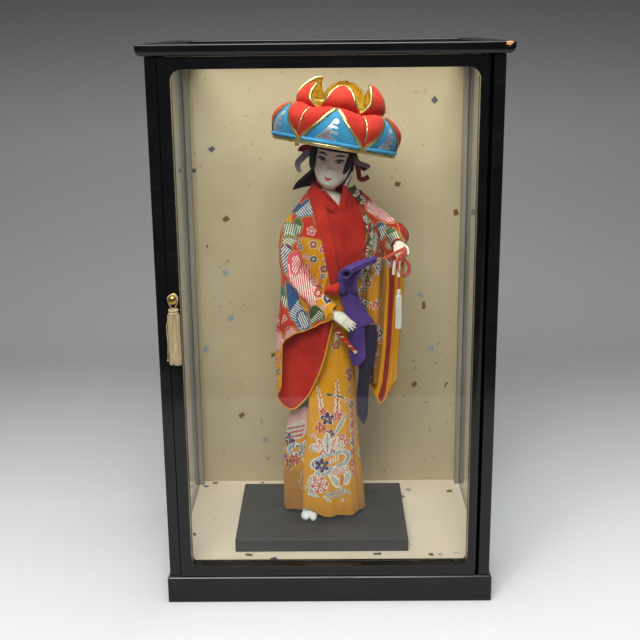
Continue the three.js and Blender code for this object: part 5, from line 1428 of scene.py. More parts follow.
def panel_look(w):
    soft = w.noise(w.placed(), 40.0, 3.0).ease(0.3, 0.7)
    thread = w.noise(w.placed(), 1500.0, 2.0)
    mark = w.field("resist")
    stitched = mark.ease(0.25, -0.25)
    cloth = (soft * 0.8 + thread * 0.2).between(rgba(ink(66, 154, 196)), rgba(ink(44, 130, 178)))
    return {"Base Color": stitched.between(cloth, w.field("dye", "Color")),
            "Metallic": stitched * 0.5,
            "Roughness": stitched.ease(0.0, 1.0, 0.72, 0.34),
            "Normal": (thread * 0.5 + stitched * 2.0).raised(0.00012, 0.5)}


def foil_tape(name, light, dark, metallic=0.72):
    def look(w):
        crinkle = w.noise(w.placed(), 700.0, 3.0, 0.6)
        worn = w.noise(w.placed(), 160.0, 3.0).ease(0.35, 0.7)
        return {"Base Color": worn.between(rgba(light), rgba(dark)),
                "Roughness": worn.ease(0.0, 1.0, 0.22, 0.4),
                "Normal": crinkle.raised(0.0003, 0.35)}
    return finish(name, look, Metallic=metallic)


HAT_RED = felt("red hat cloth", ink(216, 51, 29), ink(198, 40, 21))
HAT_BLUE = finish("blue hat panel", panel_look, Sheen_Weight=0.2, Specular_IOR_Level=0.3)
LIP_BLUE = felt("blue rim piping", ink(88, 172, 216), ink(58, 146, 196))
HAT_GOLD = foil_tape("gold foil tape", ink(226, 204, 146), ink(176, 138, 66))
CROWN_GOLD = foil_tape("gold foil lining", ink(232, 200, 92), ink(192, 150, 46), 0.5)
BRIM = [(0, 62.8, 0), (0.15, 64.6, 7), (0.35, 65.2, 14.5), (0.6, 62.5, 24.5), (0.8, 57, 32.5), (0.92, 51.5, 36.2),
        (1, 46, 37), (1.12, 40, 35), (1.25, 33, 32.5)]
CROWN = [(0, 30, 0), (0.1, 38.5, 1.0), (0.2, 43, 4.6), (0.33, 45.4, 10.4), (0.5, 45.2, 17.5), (0.67, 42.4, 25),
         (0.83, 37, 32), (0.93, 32, 35.8), (1, 27.5, 37.2)]
NARROW = [(0, 31), (0.12, 30.5), (0.2, 28), (0.33, 23.5), (0.45, 20.5), (0.64, 18.3), (0.83, 14), (0.93, 9.5), (1, 1)]
BROAD = [(0, 31), (0.5, 31), (0.66, 30), (0.8, 25), (0.9, 17), (0.96, 10), (1, 1)]
LEAN = [(0, 31), (0.4, 31), (0.55, 28), (0.7, 21), (0.85, 13), (0.94, 8), (1, 1)]
CROWN_PETALS = [(3, 0.75, NARROW), (62, 0.9, NARROW), (118, 0.8, BROAD), (178, 0.96, BROAD), (-122, 0.95, LEAN),
                (-60, 0.73, NARROW)]
SECTOR = math.radians(60)


def brim_at(phi, t, lift=0.0):
    """A place on the brim: phi from the front of the hat, t from the rim to the top of the shoulder."""
    radius, z = along(BRIM, t)
    angle = phi - math.pi / 2
    lean = np.clip(t, 0, 1) ** 2
    r = radius + lift * (1 - 0.6 * lean)
    return stacked(r * np.cos(angle), r * np.sin(angle), z + lift * 0.6 * lean)


def crest_ball(x, z):
    return np.hypot((x - 2.2) / 1.12, z - 24.2) - 2.6


def crest(x, z):
    """Signed reach of the silver wave crest: a hill with two curls and a ball above."""
    left = np.interp(z, [5.9, 9.3, 12.7, 16.2, 19.9, 24.4], [-16.6, -12.3, -8.3, -5.8, -3.5, -0.9])
    right = np.interp(z, [5.9, 7.2, 9.4, 11, 21, 25], [6.4, 3.2, -1.0, -1.6, -0.8, 1.0])
    mark = np.maximum(np.maximum(left - x, x - right), np.maximum(5.9 - z, z - 25.0))
    for height, reach in [(18.6, 3.6), (13.0, 4.4)]:
        droop = height - 0.17 * (x - 1)
        bar = np.maximum(np.abs(z - droop) - 1.2, np.maximum(-2.5 - x, x - reach))
        mark = np.minimum(mark, np.minimum(bar, np.hypot(x - reach, z - height + 0.17 * (reach - 1)) - 1.2))
    return np.minimum(mark, crest_ball(x, z))


def repeat_round(piece, material):
    """The piece set six times round the hat's axis."""
    base = piece.made()
    axis = (HAT.to_3x3() @ Vector((0, 0, 1))).normalized()
    middle = HAT.translation * 0.001
    apply_tree(base, RING, Count=6, Step=SECTOR, Axis=tuple(axis), Middle=tuple(middle), Finish=material)
    return base


def hat_skin(name, phi, t, lift, material, dye=None, mark=None, dip=0.0):
    grid = brim_at(phi, t, lift)
    grid[..., 2] -= dip
    piece = Piece(name, HAT)
    lay_cloth(piece, grid, 1.0, material, material, dye, mark, stacked(phi * 55, t * 60), 3)
    return piece


a = row(-1, 1, 120)
t = column(0.0, 0.955, 110)
phi = a * SECTOR / 2 * (1 - t / 0.96)
puff = 0.9 * (1 - a ** 2) * np.sin(math.pi * np.clip(t, 0, 1)) - 0.4
flat = brim_at(phi, t, 0)
x, z = flat[..., 0], flat[..., 2]
crest_mark = crest(x, z)
hatched = np.sin(x * 2.2 - z * 1.6) > 0.1
bright = (crest_mark > -0.55) | (crest_ball(x, z) < 0)
silver = np.where(hatched[..., None], ink(140, 118, 128), ink(196, 184, 188))
silver = np.where(bright[..., None], ink(238, 236, 236), silver)
blue_panels = repeat_round(hat_skin("blue_hat_panels", phi, t, puff, HAT_BLUE, silver, crest_mark), HAT_BLUE)

t = column(0.02, 1.24, 110)
share = np.clip(t / 0.96, 0, 1)
phi = SECTOR / 2 + a * SECTOR / 2 * share
crease = 1 - 0.62 * np.exp(-(a * np.maximum(share, 0.15) / 0.07) ** 2)
puff = 4.6 * np.sqrt(np.clip(1 - a ** 2, 0, 1)) ** 0.8 * smooth(0.02, 0.6, t) * smooth(1.2, 0.96, t) * crease - 0.3
sunk = 4.4 * bell(a, 0, 0.6) * smooth(0.5, 1.0, t)
red_petals = repeat_round(hat_skin("red_hat_petals", phi, t, puff, HAT_RED, dip=sunk), HAT_RED)


def tape(piece, phi_line, t_line, lift_line, half, dip=0.0):
    """Foil tape along a line on the brim."""
    s = column(-1, 1, 9)
    place = brim_at(phi_line, t_line, 0)
    place[:, 2] -= dip
    heading = unit(np.gradient(place, axis=0))
    ahead = unit(brim_at(phi_line, t_line, 1.0) - brim_at(phi_line, t_line, 0))
    side = np.cross(heading, ahead)
    grid = (place[None] + side[None] * (s * half)[..., None]
            + ahead[None] * (lift_line + 0.55 * (1 - s ** 2))[..., None])
    lay_cloth(piece, grid[::-1], 0.5, HAT_GOLD, HAT_GOLD, coarse=2)


edging, veins = Piece("gold_hat_edging", HAT), Piece("gold_petal_veins", HAT)
line = np.linspace(0.0, 0.97, 70)
for side, lift in [(1, 0.75), (-1, 0.8)]:
    tape(edging, side * SECTOR / 2 * (1 - line / 0.97), line, lift + 0 * line, 2.0)
gold_edging = repeat_round(edging, HAT_GOLD)
line = np.linspace(0.2, 0.9, 50)
tape(veins, SECTOR / 2 + 0 * line, line, 4.6 * 0.38 * smooth(0.02, 0.6, line) + 0.5, 0.8,
     4.4 * smooth(0.5, 1.0, line))
gold_veins = repeat_round(veins, HAT_GOLD)


def crown_at(a, s, petal, inset=0.0):
    """A place on one crown petal: a across it, s from its root to its tip."""
    turn, tall, spread = petal
    radius, z = along(CROWN, s)
    bulge = 2.4 * (1 - a ** 2) * smooth(0.0, 0.35, s) + 1.2 * smooth(0.8, 1, s)
    r = radius + bulge - inset
    angle = math.radians(turn) + a * np.radians(along(spread, s)[0]) - math.pi / 2
    return stacked(r * np.cos(angle), r * np.sin(angle), 33 + z * tall + inset * (0.4 - s))


def crown_edge(piece, petal, side, s):
    """Foil tape folded over one edge of a crown petal."""
    half = np.radians(along(petal[2], s)[0]) * along(CROWN, s)[0]
    margin = np.clip(1 - 2.6 / half, 0, 1)
    folds = [(0, 0.0), (0.12, -0.4), (0.5, -0.55), (0.9, -0.5), (1.0, -0.2), (1.03, 0.7), (1.0, 1.5), (0.6, 1.7)]
    grid = np.stack([crown_at(side * mix(margin, 1, b), s, petal, inset)[:, 0] for b, inset in folds], 1)
    grid = grid if side > 0 else grid[:, ::-1]
    piece.skin(grid, lattice(*grid.shape[:2]), HAT_GOLD)


a = row(-1, 1, 60)
s = column(0.01, 0.992, 90)
petals, lining, rims = [Piece(name, HAT) for name in ("red_crown_petals", "gold_crown_lining", "gold_crown_edging")]
for petal in CROWN_PETALS:
    petals.skin(crown_at(a, s, petal), lattice(90, 60), HAT_RED, laid=stacked(a * 25, s * 60))
    inner = crown_at(a, s, petal, 1.3)[::3, ::3]
    lining.skin(inner, lattice(*inner.shape[:2])[:, ::-1], CROWN_GOLD)
    for side in (-1, 1):
        crown_edge(rims, petal, side, s)
SIDES = 96
cup = [(38.0, 32.8), (40.6, 36), (41.2, 39.5), (40.8, 43.0), (40.0, 43.2), (39.8, 39.5), (38.6, 36), (37.0, 33.0)]
lining.skin(revolved(cup, SIDES), lattice(8, SIDES, True), CROWN_GOLD)
red_crown, gold_crown, gold_rims = petals.made(), lining.made(), rims.made()

under = Piece("hat_underside", HAT)
funnel = [(27, 16), (27.5, 11), (45, 6), (60, 1.2), (62.2, 0.2)]
under.skin(revolved(funnel, SIDES), lattice(5, SIDES, True)[:, ::-1], HAT_RED)
dish = [(40, 33.0), (30, 32.8), (12, 33.0), (0.3, 33.2)]
under.skin(revolved(dish, SIDES), lattice(4, SIDES, True), CROWN_GOLD)
roof = [(0.3, 16.3), (14, 16.2), (27, 16)]
under.skin(revolved(roof, SIDES), lattice(3, SIDES, True)[:, ::-1], HAT_RED)
hat_under = under.made()
band = Piece("gold_rim_band", HAT)
hoop = revolved([(62.4, -2.4), (63.8, -2.5), (64.3, -1.4), (64.3, 0.3), (63.8, 1.3), (62.6, 1.5)], SIDES)
band.skin(hoop, lattice(6, SIDES, True), HAT_GOLD)
band.skin(hoop[[0, -1]] * [0.995, 0.995, 1], lattice(2, SIDES, True)[:, ::-1], HAT_GOLD)
rim_band = band.made()
lip = Piece("blue_rim_piping", HAT)
reach = np.linspace(-0.485, 0.485, 60)
tube(lip, stacked(64.3 * np.sin(reach), -64.3 * np.cos(reach), 3.1),
     1.75 * np.sqrt(np.clip(1 - (reach / 0.486) ** 20, 0, 1)) + 0.02, LIP_BLUE, 12)
blue_lip = repeat_round(lip, LIP_BLUE)
for piece, node, slot in [(red_petals, "hat_brim", "hat_cloth"), (blue_panels, None, "hat_cloth"),
                          (gold_edging, None, "gold_tape"), (gold_veins, None, "gold_tape"),
                          (red_crown, "hat_crown", "hat_cloth"), (gold_crown, None, "gold_tape"),
                          (gold_rims, None, "gold_tape"), (hat_under, None, "hat_cloth"),
                          (rim_band, "hat_rim_band", "gold_tape"), (blue_lip, None, "hat_cloth")]:
    dress(piece, node)


# Head: a smooth shell-white face with painted features

SKIN = ink(232, 219, 202)


def shell_white(name):
    def look(w):
        tint = w.noise(w.placed(), 55.0, 2.0).ease(0.3, 0.7, 0.0, 0.14)
        fine = w.noise(w.placed(), 1400.0, 2.0)
        return {"Base Color": tint.between(w.field("dye", "Color"), rgba(ink(206, 186, 160))),
                "Roughness": fine.ease(0.2, 0.8, 0.36, 0.5),
                "Normal": fine.raised(0.00004, 0.3)}
    return finish(name, look, Subsurface_Weight=0.06, Subsurface_Radius=(0.002, 0.0012, 0.0008))


def hair_look(w):
    where = w.placed()
    comb = w.noise(where, 520.0, 3.0, 0.6, stretch=(1, 1, 0.06))
    sheen = w.noise(where, 60.0, 2.0).ease(0.35, 0.7)
    return {"Base Color": (comb * 0.6 + sheen * 0.4).between(rgba(ink(16, 17, 20)), rgba(ink(44, 47, 52))),
            "Roughness": comb.ease(0.2, 0.8, 0.34, 0.52),
            "Normal": comb.raised(0.0006, 0.6)}


SHELL = shell_white("shell-white face")
HAIR = finish("black silk hair", hair_look)
HEAD_LEVELS = [(-36, 13, -3, 24, 14), (-26, 10.5, -3, 20, 13.5), (-16, 7, -1.5, 15.5, 12.5), (-12, 6.4, -2, 15, 12.2),
               (-8, 5.4, -2, 14.4, 12.3), (-4, 4, -1.6, 13, 12.4), (-1, 3, -1, 11.4, 11.8), (2, 0, 1, 7.5, 7.5),
               (6, 0, -4, 8, 10), (8.5, 0, -5, 10.5, 13.5), (13, 0, -4, 14.2, 16.5), (20, 0, -2.5, 17.2, 18.3),
               (28, 0, -1.5, 18.8, 19.3), (38, 0, -1, 18.8, 19.5), (48, 0, -1, 16.5, 18), (55, 0, -1, 11, 13),
               (59, 0, -1, 4, 5)]


def head_piece():
    z = np.linspace(-36, 59, 290)
    angle = full_turn(260)
    grid = round_grid(HEAD_LEVELS, z, 260)
    x, zz = grid[..., 0], grid[..., 2]
    front = smooth(-0.35, -0.8, np.sin(angle))[None] * smooth(4, 8, zz)
    near = np.abs(x)
    form = (2.5 * bell(x, 0, 2.1) * bell(zz, 24.8, 2.4)
            + 1.5 * bell(x, 0, 1.9) * smooth(23, 26, zz) * smooth(44, 34, zz)
            + 0.7 * bell(near, 2.1, 1.2) * bell(zz, 23.7, 1.3) - 1.0 * bell(near, 7.8, 4.6) * bell(zz, 34.8, 3.0)
            + 0.5 * bell(near, 8.2, 3.8) * bell(zz, 34.6, 1.7) + 0.35 * bell(near, 8, 5) * bell(zz, 40.6, 2.2)
            + 0.8 * bell(x, 0, 3.1) * bell(zz, 17.0, 1.0) + 0.75 * bell(x, 0, 2.5) * bell(zz, 14.6, 1.1)
            - 0.5 * bell(x, 0, 4.2) * bell(zz, 15.8 + 0.05 * x ** 2, 0.45) + 0.7 * bell(x, 0, 4) * bell(zz, 9.8, 2.4)
            + 0.6 * bell(near, 9.5, 5) * bell(zz, 25, 6) - 0.4 * bell(x, 0, 1.0) * bell(zz, 19.6, 1.6))
    grid[..., 1] -= form * front
    work = Dyework(np.where(front > 0.02, x, 99.0), zz, SKIN)
    work.wash(0.24 * bell(near, 10, 4.5) * bell(zz, 25.5, 5) * front, ink(226, 140, 126))
    work.wash(0.14 * bell(x, 0, 2.6) * bell(zz, 22.4, 1.4) * front, ink(170, 110, 90))
    for side in (-1, 1):
        ex = (work.across - side * 8.7 + 0.5) * side
        e = ex / 4.9
        lift = 33.9 + 0.1 * ex
        arch = np.sqrt(np.clip(1 - e ** 2, 0, 1))
        upper, lower = lift + 1.95 * arch, lift - 1.15 * arch
        work.wash(0.55 * bell(ex, 0.5, 5.6) * bell(zz, 36.6, 2.0), ink(112, 114, 120))
        inside = np.maximum(zz - upper, lower - zz)
        work.lay(inside + np.where(np.abs(e) > 1, 2.0, 0), ink(226, 222, 214), False)
        work.lay(np.maximum(np.hypot(ex + 0.2, zz - 34.3) - 2.45, inside), ink(26, 20, 20), False)
        # A white dot in each iris: a painted highlight.
        work.lay(np.hypot(ex + 0.7 * side, zz - 34.9) - 0.4, ink(236, 236, 236), False)
        lash = np.abs(zz - upper - 0.15) - mix(0.5, 1.0, smooth(-1, 0.6, e))
        work.lay(np.where(np.abs(e) < 1.0, lash, np.hypot(np.abs(ex) - 4.9, zz - lift - 0.3) - 0.6), ink(20, 18, 20),
                 False)
        work.lay(np.where(np.abs(e) < 0.95, np.abs(zz - lower) - 0.2, 2.0), ink(66, 56, 56), False)
        brow = 39.4 + 1.2 * np.cos((ex - 0.8) / 3.6) + 0.06 * ex
        thick = 1.2 * np.clip(1 - (ex / 5.6) ** 2, 0, 1) ** 0.6
        work.lay(np.abs(zz - brow) - thick + np.where(np.abs(ex) > 5.6, 2, 0), ink(16, 15, 17), False)
    m = work.across / 4.1
    middle = 15.5 + 1.3 * m ** 2
    full = np.clip(1 - m ** 2, 0, 1)
    top = middle + 1.25 * full ** 0.7 - 0.45 * bell(work.across, 0, 0.8)
    low = middle - 2.0 * full ** 0.9
    work.lay(np.maximum(zz - top, low - zz) + np.where(np.abs(m) > 1, 2, 0), ink(206, 62, 48), False)
    work.lay(np.where(np.abs(m) < 0.95, np.abs(zz - middle) - 0.14, 2.0), ink(140, 30, 28), False)
    piece = Piece("doll_head", HEAD)
    piece.skin(grid, lattice(290, 260, True), SHELL, work.dye, None, stacked(x, zz))
    close_ends(piece, grid, SHELL, SKIN)
    return piece


skull = head_piece()
chin = curve_through([(-16.6, -7, 30), (-14.6, -10, 17), (-9.6, -15.4, 8.6), (0, -19.2, 5.9), (9.6, -15.4, 8.6),
                      (14.6, -10, 17), (16.6, -7, 30)], 90)
tube(skull, chin, 0.42, RED_CORD, 8)
dress(skull.made(), "head")


def hair_piece():
    piece = Piece("combed_hair", HEAD)
    theta = column(0.02, math.pi - 0.02, 120)
    angle = full_turn(180)[None]
    ridge = 1 + 0.012 * np.sin(60 * angle) + 0.008 * np.sin(97 * angle + 3 * theta)
    x = 20.3 * np.sin(theta) * np.cos(angle) * ridge
    y = 2 + 21.8 * np.sin(theta) * np.sin(angle) * ridge
    z = 38.7 - 22.6 * np.cos(theta)
    window = smooth(19.0, 16.5, np.abs(x)) * smooth(-4, -7, y) * smooth(45.5, 43.5, z)
    shrink = 1 - 0.35 * window
    grid = stacked(x * shrink, 2 + (y - 2) * shrink, z)
    piece.skin(grid, lattice(120, 180, True), HAIR)
    close_ends(piece, grid, HAIR)
    for side in (-1, 1):
        t = column(0.03, 0.97, 60)
        body = np.clip(np.sin(math.pi * t), 0, 1) ** 0.34
        foot, crown, depth, low = (14.0, 19.6, -12.5, 22.6) if side > 0 else (-19.4, -20.6, -8.5, 21.2)
        comb = 1 + 0.03 * np.sin(16 * angle)
        gx = mix(foot, crown, t) + 4.5 * body * comb * np.cos(angle)
        gy = mix(depth, -5, t) + 5.6 * body * comb * np.sin(angle)
        gz = mix(low, 48, t) + 0.9 * np.sin(angle) * (1 - t)
        lock = stacked(gx, gy, gz)
        piece.skin(lock, lattice(60, 180, True), HAIR)
        close_ends(piece, lock, HAIR)
    return piece.made()


dress(hair_piece(), "hair")

scarf = Piece("head_scarf_cloth", HEAD)
angle = full_turn(120)[None]
level = column(43.8, 52.5, 10)
swell = 0.5 * np.sin(math.pi * (level - 43.8) / 8.7) + 0.12 * np.sin(7 * angle + level)
headband = stacked((19.4 + swell) * np.cos(angle), -0.6 + (20.6 + swell) * np.sin(angle), level)
scarf.skin(headband, lattice(10, 120, True), SCARF_AND_SHADED_SASH_SILK, laid=stacked(angle * 19, level))
u = row(0, 1, 130)
v = column(1, 0, 90)
angle = np.radians(mix(22, 158, u))
flare = 1 + mix(-0.25, 0.9, u) * smooth(0.38, 1.0, v)
bottom = mix(-6, -7, u) + 9 * np.sin(math.pi * u)
fold = 1.2 * np.sin(9 * math.pi * u + 2 * v) * v
back = stacked(22 * flare * np.cos(angle), 2 + (24.6 * mix(1, 1.12, v) + fold) * np.sin(angle), mix(45, bottom, v))
lay_cloth(scarf, back[::-1], 0.9, SCARF_AND_SHADED_SASH_SILK, SCARF_AND_SHADED_SASH_SILK, coarse=2, laid=stacked(u * 70, v * 50))
scarf_made = dress(scarf.made(), "head_scarf")


def ribbon(name, path, node, widths, roll):
    """A ribbon end that curls: red on its face, grey behind."""
    piece = Piece(name, HEAD)
    line = curve_through(path, 90)
    heading = unit(np.gradient(line, axis=0))
    turn = np.interp(np.linspace(0, 1, 90), np.linspace(0, 1, len(roll)), np.radians(roll))
    flat = unit(np.cross(heading, [0, -1, 0]))
    deep = np.cross(heading, flat)
    side = flat * np.cos(turn)[:, None] + deep * np.sin(turn)[:, None]
    a = row(-0.5, 0.5, 12)
    wide = np.interp(np.linspace(0, 1, 90), np.linspace(0, 1, len(widths)), widths)[:, None]
    grid = line[:, None] + side[:, None] * (a * wide)[..., None]
    lay_cloth(piece, grid, 0.5, RED_RIBBON, GREY_RIBBON, coarse=1, laid=stacked(a * wide, column(0, 50, 90)))
    made = dress(piece.made(), node)
    if node:
        free_cord(made, line, 0.0068, "bare", HEAD)
    return made


ribbon("left_ribbon_end",
       [(15, 2, 47), (20, -3, 44), (24, -5, 37), (28, -6, 27), (30.5, -6, 20), (35, -5, 19.5), (39.5, -4, 23)],
       "left_ribbon", [6, 6, 5.6, 5, 6], [0, 15, 20, 10, 35])
ribbon("right_ribbon_end", [(-15, 2, 46.5), (-20, -3, 43), (-25, -5, 38.5), (-30.5, -6, 32), (-35, -5, 25.5),
                            (-35.4, -4, 21), (-32, -3, 15)],
       "right_ribbon", [6, 6.8, 7, 7, 6.8, 6.4, 3.4], [170, 174, 180, 180, 186, 196, 200])
left_bow = ribbon("left_bow_loop", [(21, -4, 41), (26, -6, 36), (32, -6.5, 34.5), (37, -5.5, 33.5), (36.5, -4, 30.5),
                                    (31, -3, 30.6), (23, -2.5, 37)],
                  None, [4, 5, 5, 4.6, 4.6, 4.6, 4], [170, 176, 180, 150, 30, 10, 0])
right_bow = ribbon("right_bow_loop",
                   [(-20, -4, 44), (-27, -6.5, 43), (-34, -6.5, 40), (-36, -5, 37), (-31, -3.5, 37), (-24, -3, 41)],
                   None, [4, 5.5, 5.8, 5.6, 5.6, 4], [0, 4, 10, 60, 150, 176])
tie = Piece("white_neck_tie", HEAD)
edge = curve_through([(15.2, -10, 7), (17.6, -9.4, 15), (21.4, -8, 25.5)], 40)
strip = edge[:, None] + np.array([1.0, 0.35, 0.35]) * np.linspace(0, 3.0, 10)[None, :, None]
lay_cloth(tie, strip, 0.6, TIE_SILK, TIE_SILK, coarse=1, laid=strip[..., [0, 2]])
neck_tie = dress(tie.made())


# Sash: a folded width of purple silk tucked in at the waist, with its narrow end hanging behind

def strip_between(left, right, rows, columns):
    """A width of cloth between two edges, each given by a few places."""
    v = np.linspace(0, 1, columns)[None, :, None]
    return curve_through(left, rows)[:, None] * (1 - v) + curve_through(right, rows)[:, None] * v


def sash_piece():
    piece = Piece("purple_sash_folded", DOLL)
    upper = strip_between([(17.6, -26, 258.5), (17.8, -28, 270), (19.5, -29, 280), (24.5, -28, 285)],
                          [(39.5, -27, 260.2), (39.2, -28.5, 272), (44, -28.5, 284), (56.5, -24, 292.5)], 70, 60)
    v = row(0, 1, 60)
    t = column(0, 1, 70)
    upper[..., 1] += (2.4 * np.cos(3.2 * math.pi * v + 1.5 * t) * (1 - 0.5 * t) + 2.6 * smooth(0.35, 0.85, t)
                      - 1.2 * np.sin(4 * math.pi * t) * (1 - v))
    lower = strip_between([(31.4, -26, 220.4), (27, -26.5, 236), (23, -26, 250), (19.6, -25.4, 266)],
                          [(58.2, -22.4, 224.8), (50.5, -24, 236), (43, -25.5, 250), (38.2, -25.4, 266)], 70, 60)
    lower[..., 1] += (2.0 * np.sin(2.4 * math.pi * v + 0.6) * (1 - 0.7 * t) + 0.8 * np.cos(4 * math.pi * v) * t
                      + 3.0 * smooth(0.55, 0.95, t))
    laid = stacked(v * 24, t * 46)
    lay_cloth(piece, upper, 0.9, PURPLE_SILK, PURPLE_SILK, laid=laid, coarse=2)
    lay_cloth(piece, lower, 0.9, PURPLE_SILK, PURPLE_SILK, laid=laid, coarse=2)
    turn = row(0.3, 2.9 * math.pi, 80)
    a = column(0, 1, 50)
    reach = (6.2 - 0.9 * turn / math.pi) * mix(1.05, 0.72, a) * (1 + 0.05 * np.sin(3 * turn + 5 * a))
    middle = curve_through([(27.6, -43, 283), (29.2, -37, 284), (35, -33, 286.6), (46, -29.5, 290.6),
                            (58.4, -25, 294.6)], 50)
    heading = unit(np.gradient(middle, axis=0))
    beside = unit(np.cross(heading, [0, 0, 1]))
    above = np.cross(beside, heading)
    rolled = middle[:, None] + reach[..., None] * (beside[:, None] * np.cos(turn)[..., None]
                                                   + above[:, None] * np.sin(turn)[..., None])
    lay_cloth(piece, rolled[::-1], 0.7, PURPLE_SILK, PURPLE_SILK, coarse=2, laid=stacked(turn * 5, a * 34))
    return piece.made()


sash = dress(sash_piece(), "purple_sash")

tail = Piece("purple_sash_end", DOLL)
fall = strip_between([(46.6, -16.6, 109.6), (40.6, -17, 119.5), (39, -17.4, 133), (39.6, -18, 150), (42, -19.4, 176),
                      (45, -21, 204), (47, -21.4, 222)],
                     [(47.2, -16.4, 109.4), (50.6, -16.4, 118.5), (51.4, -16.8, 133), (53, -17.6, 160),
                      (58.4, -19, 186), (61, -20, 203), (60, -21, 223)], 120, 26)
v = row(0, 1, 26)
t = column(0, 1, 120)
fall[..., 1] += 1.0 * np.sin(2 * math.pi * v + 3 * t) * (1 - 0.4 * t)
# The hanging end takes the dark silk, not the sash's purple: painted shade of the left sleeve over it.
lay_cloth(tail, fall, 0.8, SCARF_AND_SHADED_SASH_SILK, SCARF_AND_SHADED_SASH_SILK, coarse=2, laid=stacked(v * 11, t * 110))
short_end = strip_between([(37, -25, 178.4), (32, -25.4, 187), (30.4, -25.8, 200), (31.6, -26, 222)],
                          [(40.4, -24.6, 177.4), (46.6, -24.2, 184), (48.4, -24, 193), (47, -24.4, 222)], 60, 26)
t = column(0, 1, 60)
short_end[..., 1] += 0.9 * np.sin(2.2 * math.pi * v + 2 * t) * (1 - 0.4 * t)
lay_cloth(tail, short_end, 0.8, PURPLE_SILK, PURPLE_SILK, coarse=2, laid=stacked(v * 16, t * 45))
tail_made = dress(tail.made(), "sash_tail")

tuck = Piece("under_robe_tuck", DOLL)
bit = strip_between([(4.5, -27, 258), (5.2, -29, 263), (7.5, -28, 267)],
                    [(18.5, -27.5, 256), (20, -30, 264), (20.5, -28, 271)], 36, 40)
v = row(0, 1, 40)
t = column(0, 1, 36)
bit[..., 1] -= 1.6 * np.sin(math.pi * t) + 0.9 * np.sin(3 * math.pi * v + 2 * t)
lay_cloth(tuck, bit, 0.8, RED_SILK, RED_SILK, coarse=2)
tuck_made = dress(tuck.made())

belt = Piece("belt_end", DOLL)
bit = strip_between([(36.6, -28.4, 192.4), (25, -30, 206), (14, -31, 220)],
                    [(40.2, -28, 195.4), (28.6, -29.6, 209.2), (17.6, -30.6, 223.4)], 60, 16)
v = row(0, 1, 16)
t = column(0, 1, 60)
bit[..., 1] -= 0.7 * np.sin(math.pi * v) + 0.6 * np.sin(5 * t)
work = Dyework(v * 6, t * 42, ink(176, 40, 28))
for start, colour, half in [(0, ink(196, 200, 180), 3.4), (11.5, WHITE, 0.5), (19, ORANGE, 0.9), (27, WHITE, 0.5),
                            (34, WHITE, 0.6)]:
    work.lay(np.abs(work.up - start - 1.4 + 0.7 * (work.across - 3)) - half, colour, False)
work.lay(np.minimum(work.across - 0.9, 5.1 - work.across), DEEP_RED, False)
lay_cloth(belt, bit, 0.7, DYED, RED_LINING, work.dye, work.line, stacked(v * 6, t * 42), 2)
belt_end = dress(belt.made())
belt_line = bit[:, [0, -1]].mean(1)[::-1]


# Hands and feet: palm, fingers and toes run together into one carved form

def carved_look(w):
    tint = w.noise(w.placed(), 70.0, 2.0).ease(0.3, 0.7)
    fine = w.noise(w.placed(), 1500.0, 2.0)
    return {"Base Color": tint.between(rgba(ink(238, 230, 214)), rgba(ink(222, 208, 186))),
            "Roughness": fine.ease(0.2, 0.8, 0.38, 0.5),
            "Normal": fine.raised(0.00004, 0.3)}


HAND_SHELL = finish("shell-white hands", carved_look, Subsurface_Weight=0.05,
                    Subsurface_Radius=(0.002, 0.0012, 0.0008))
SOCK = plain_cloth("white sock cloth", ink(238, 236, 230), ink(214, 210, 200), 0.82, 0.00035)


def bud(piece, start, end, first, last, material):
    """A round-ended rod from one place to another."""
    start, end = np.array(start, float), np.array(end, float)
    length = np.linalg.norm(end - start)
    heading = (end - start) / max(length, 1e-6)
    reach = np.concatenate([-first * np.cos(np.linspace(0.12, math.pi / 2, 7)), np.linspace(0, length, 8)[1:-1],
                            length + last * np.sin(np.linspace(0, math.pi / 2 - 0.12, 7))])
    middle = mix(first, last, np.clip(reach / max(length, 1e-6), 0, 1))
    beyond = np.where(reach < 0, reach / first, np.where(reach > length, (reach - length) / last, 0))
    tube(piece, start + heading * reach[:, None], middle * np.sqrt(np.clip(1 - beyond ** 2, 0, 1)), material, 12)


def run_together(piece, voxel, material):
    """The rods of a piece melted into one closed skin."""
    made = piece.made()
    melt = made.modifiers.new("melt", "REMESH")
    melt.mode = "VOXEL"
    melt.voxel_size = voxel
    melt.use_smooth_shade = True
    ease = made.modifiers.new("ease", "SMOOTH")
    ease.factor = 0.5
    ease.iterations = 4
    graph = bpy.context.evaluated_depsgraph_get()
    skin = bpy.data.meshes.new_from_object(made.evaluated_get(graph))
    made.modifiers.clear()
    made.data = skin
    skin.materials.clear()
    skin.materials.append(material)
    return made


def hand_frame(wrist, aim, roll):
    heading = (Vector(aim) - Vector(wrist)).normalized()
    side = Vector((0, 0, 1)).cross(heading).normalized()
    up = heading.cross(side)
    basis = Matrix((heading, side, up)).transposed().to_4x4()
    return DOLL @ Matrix.Translation(wrist) @ basis @ Matrix.Rotation(roll, 4, "X")


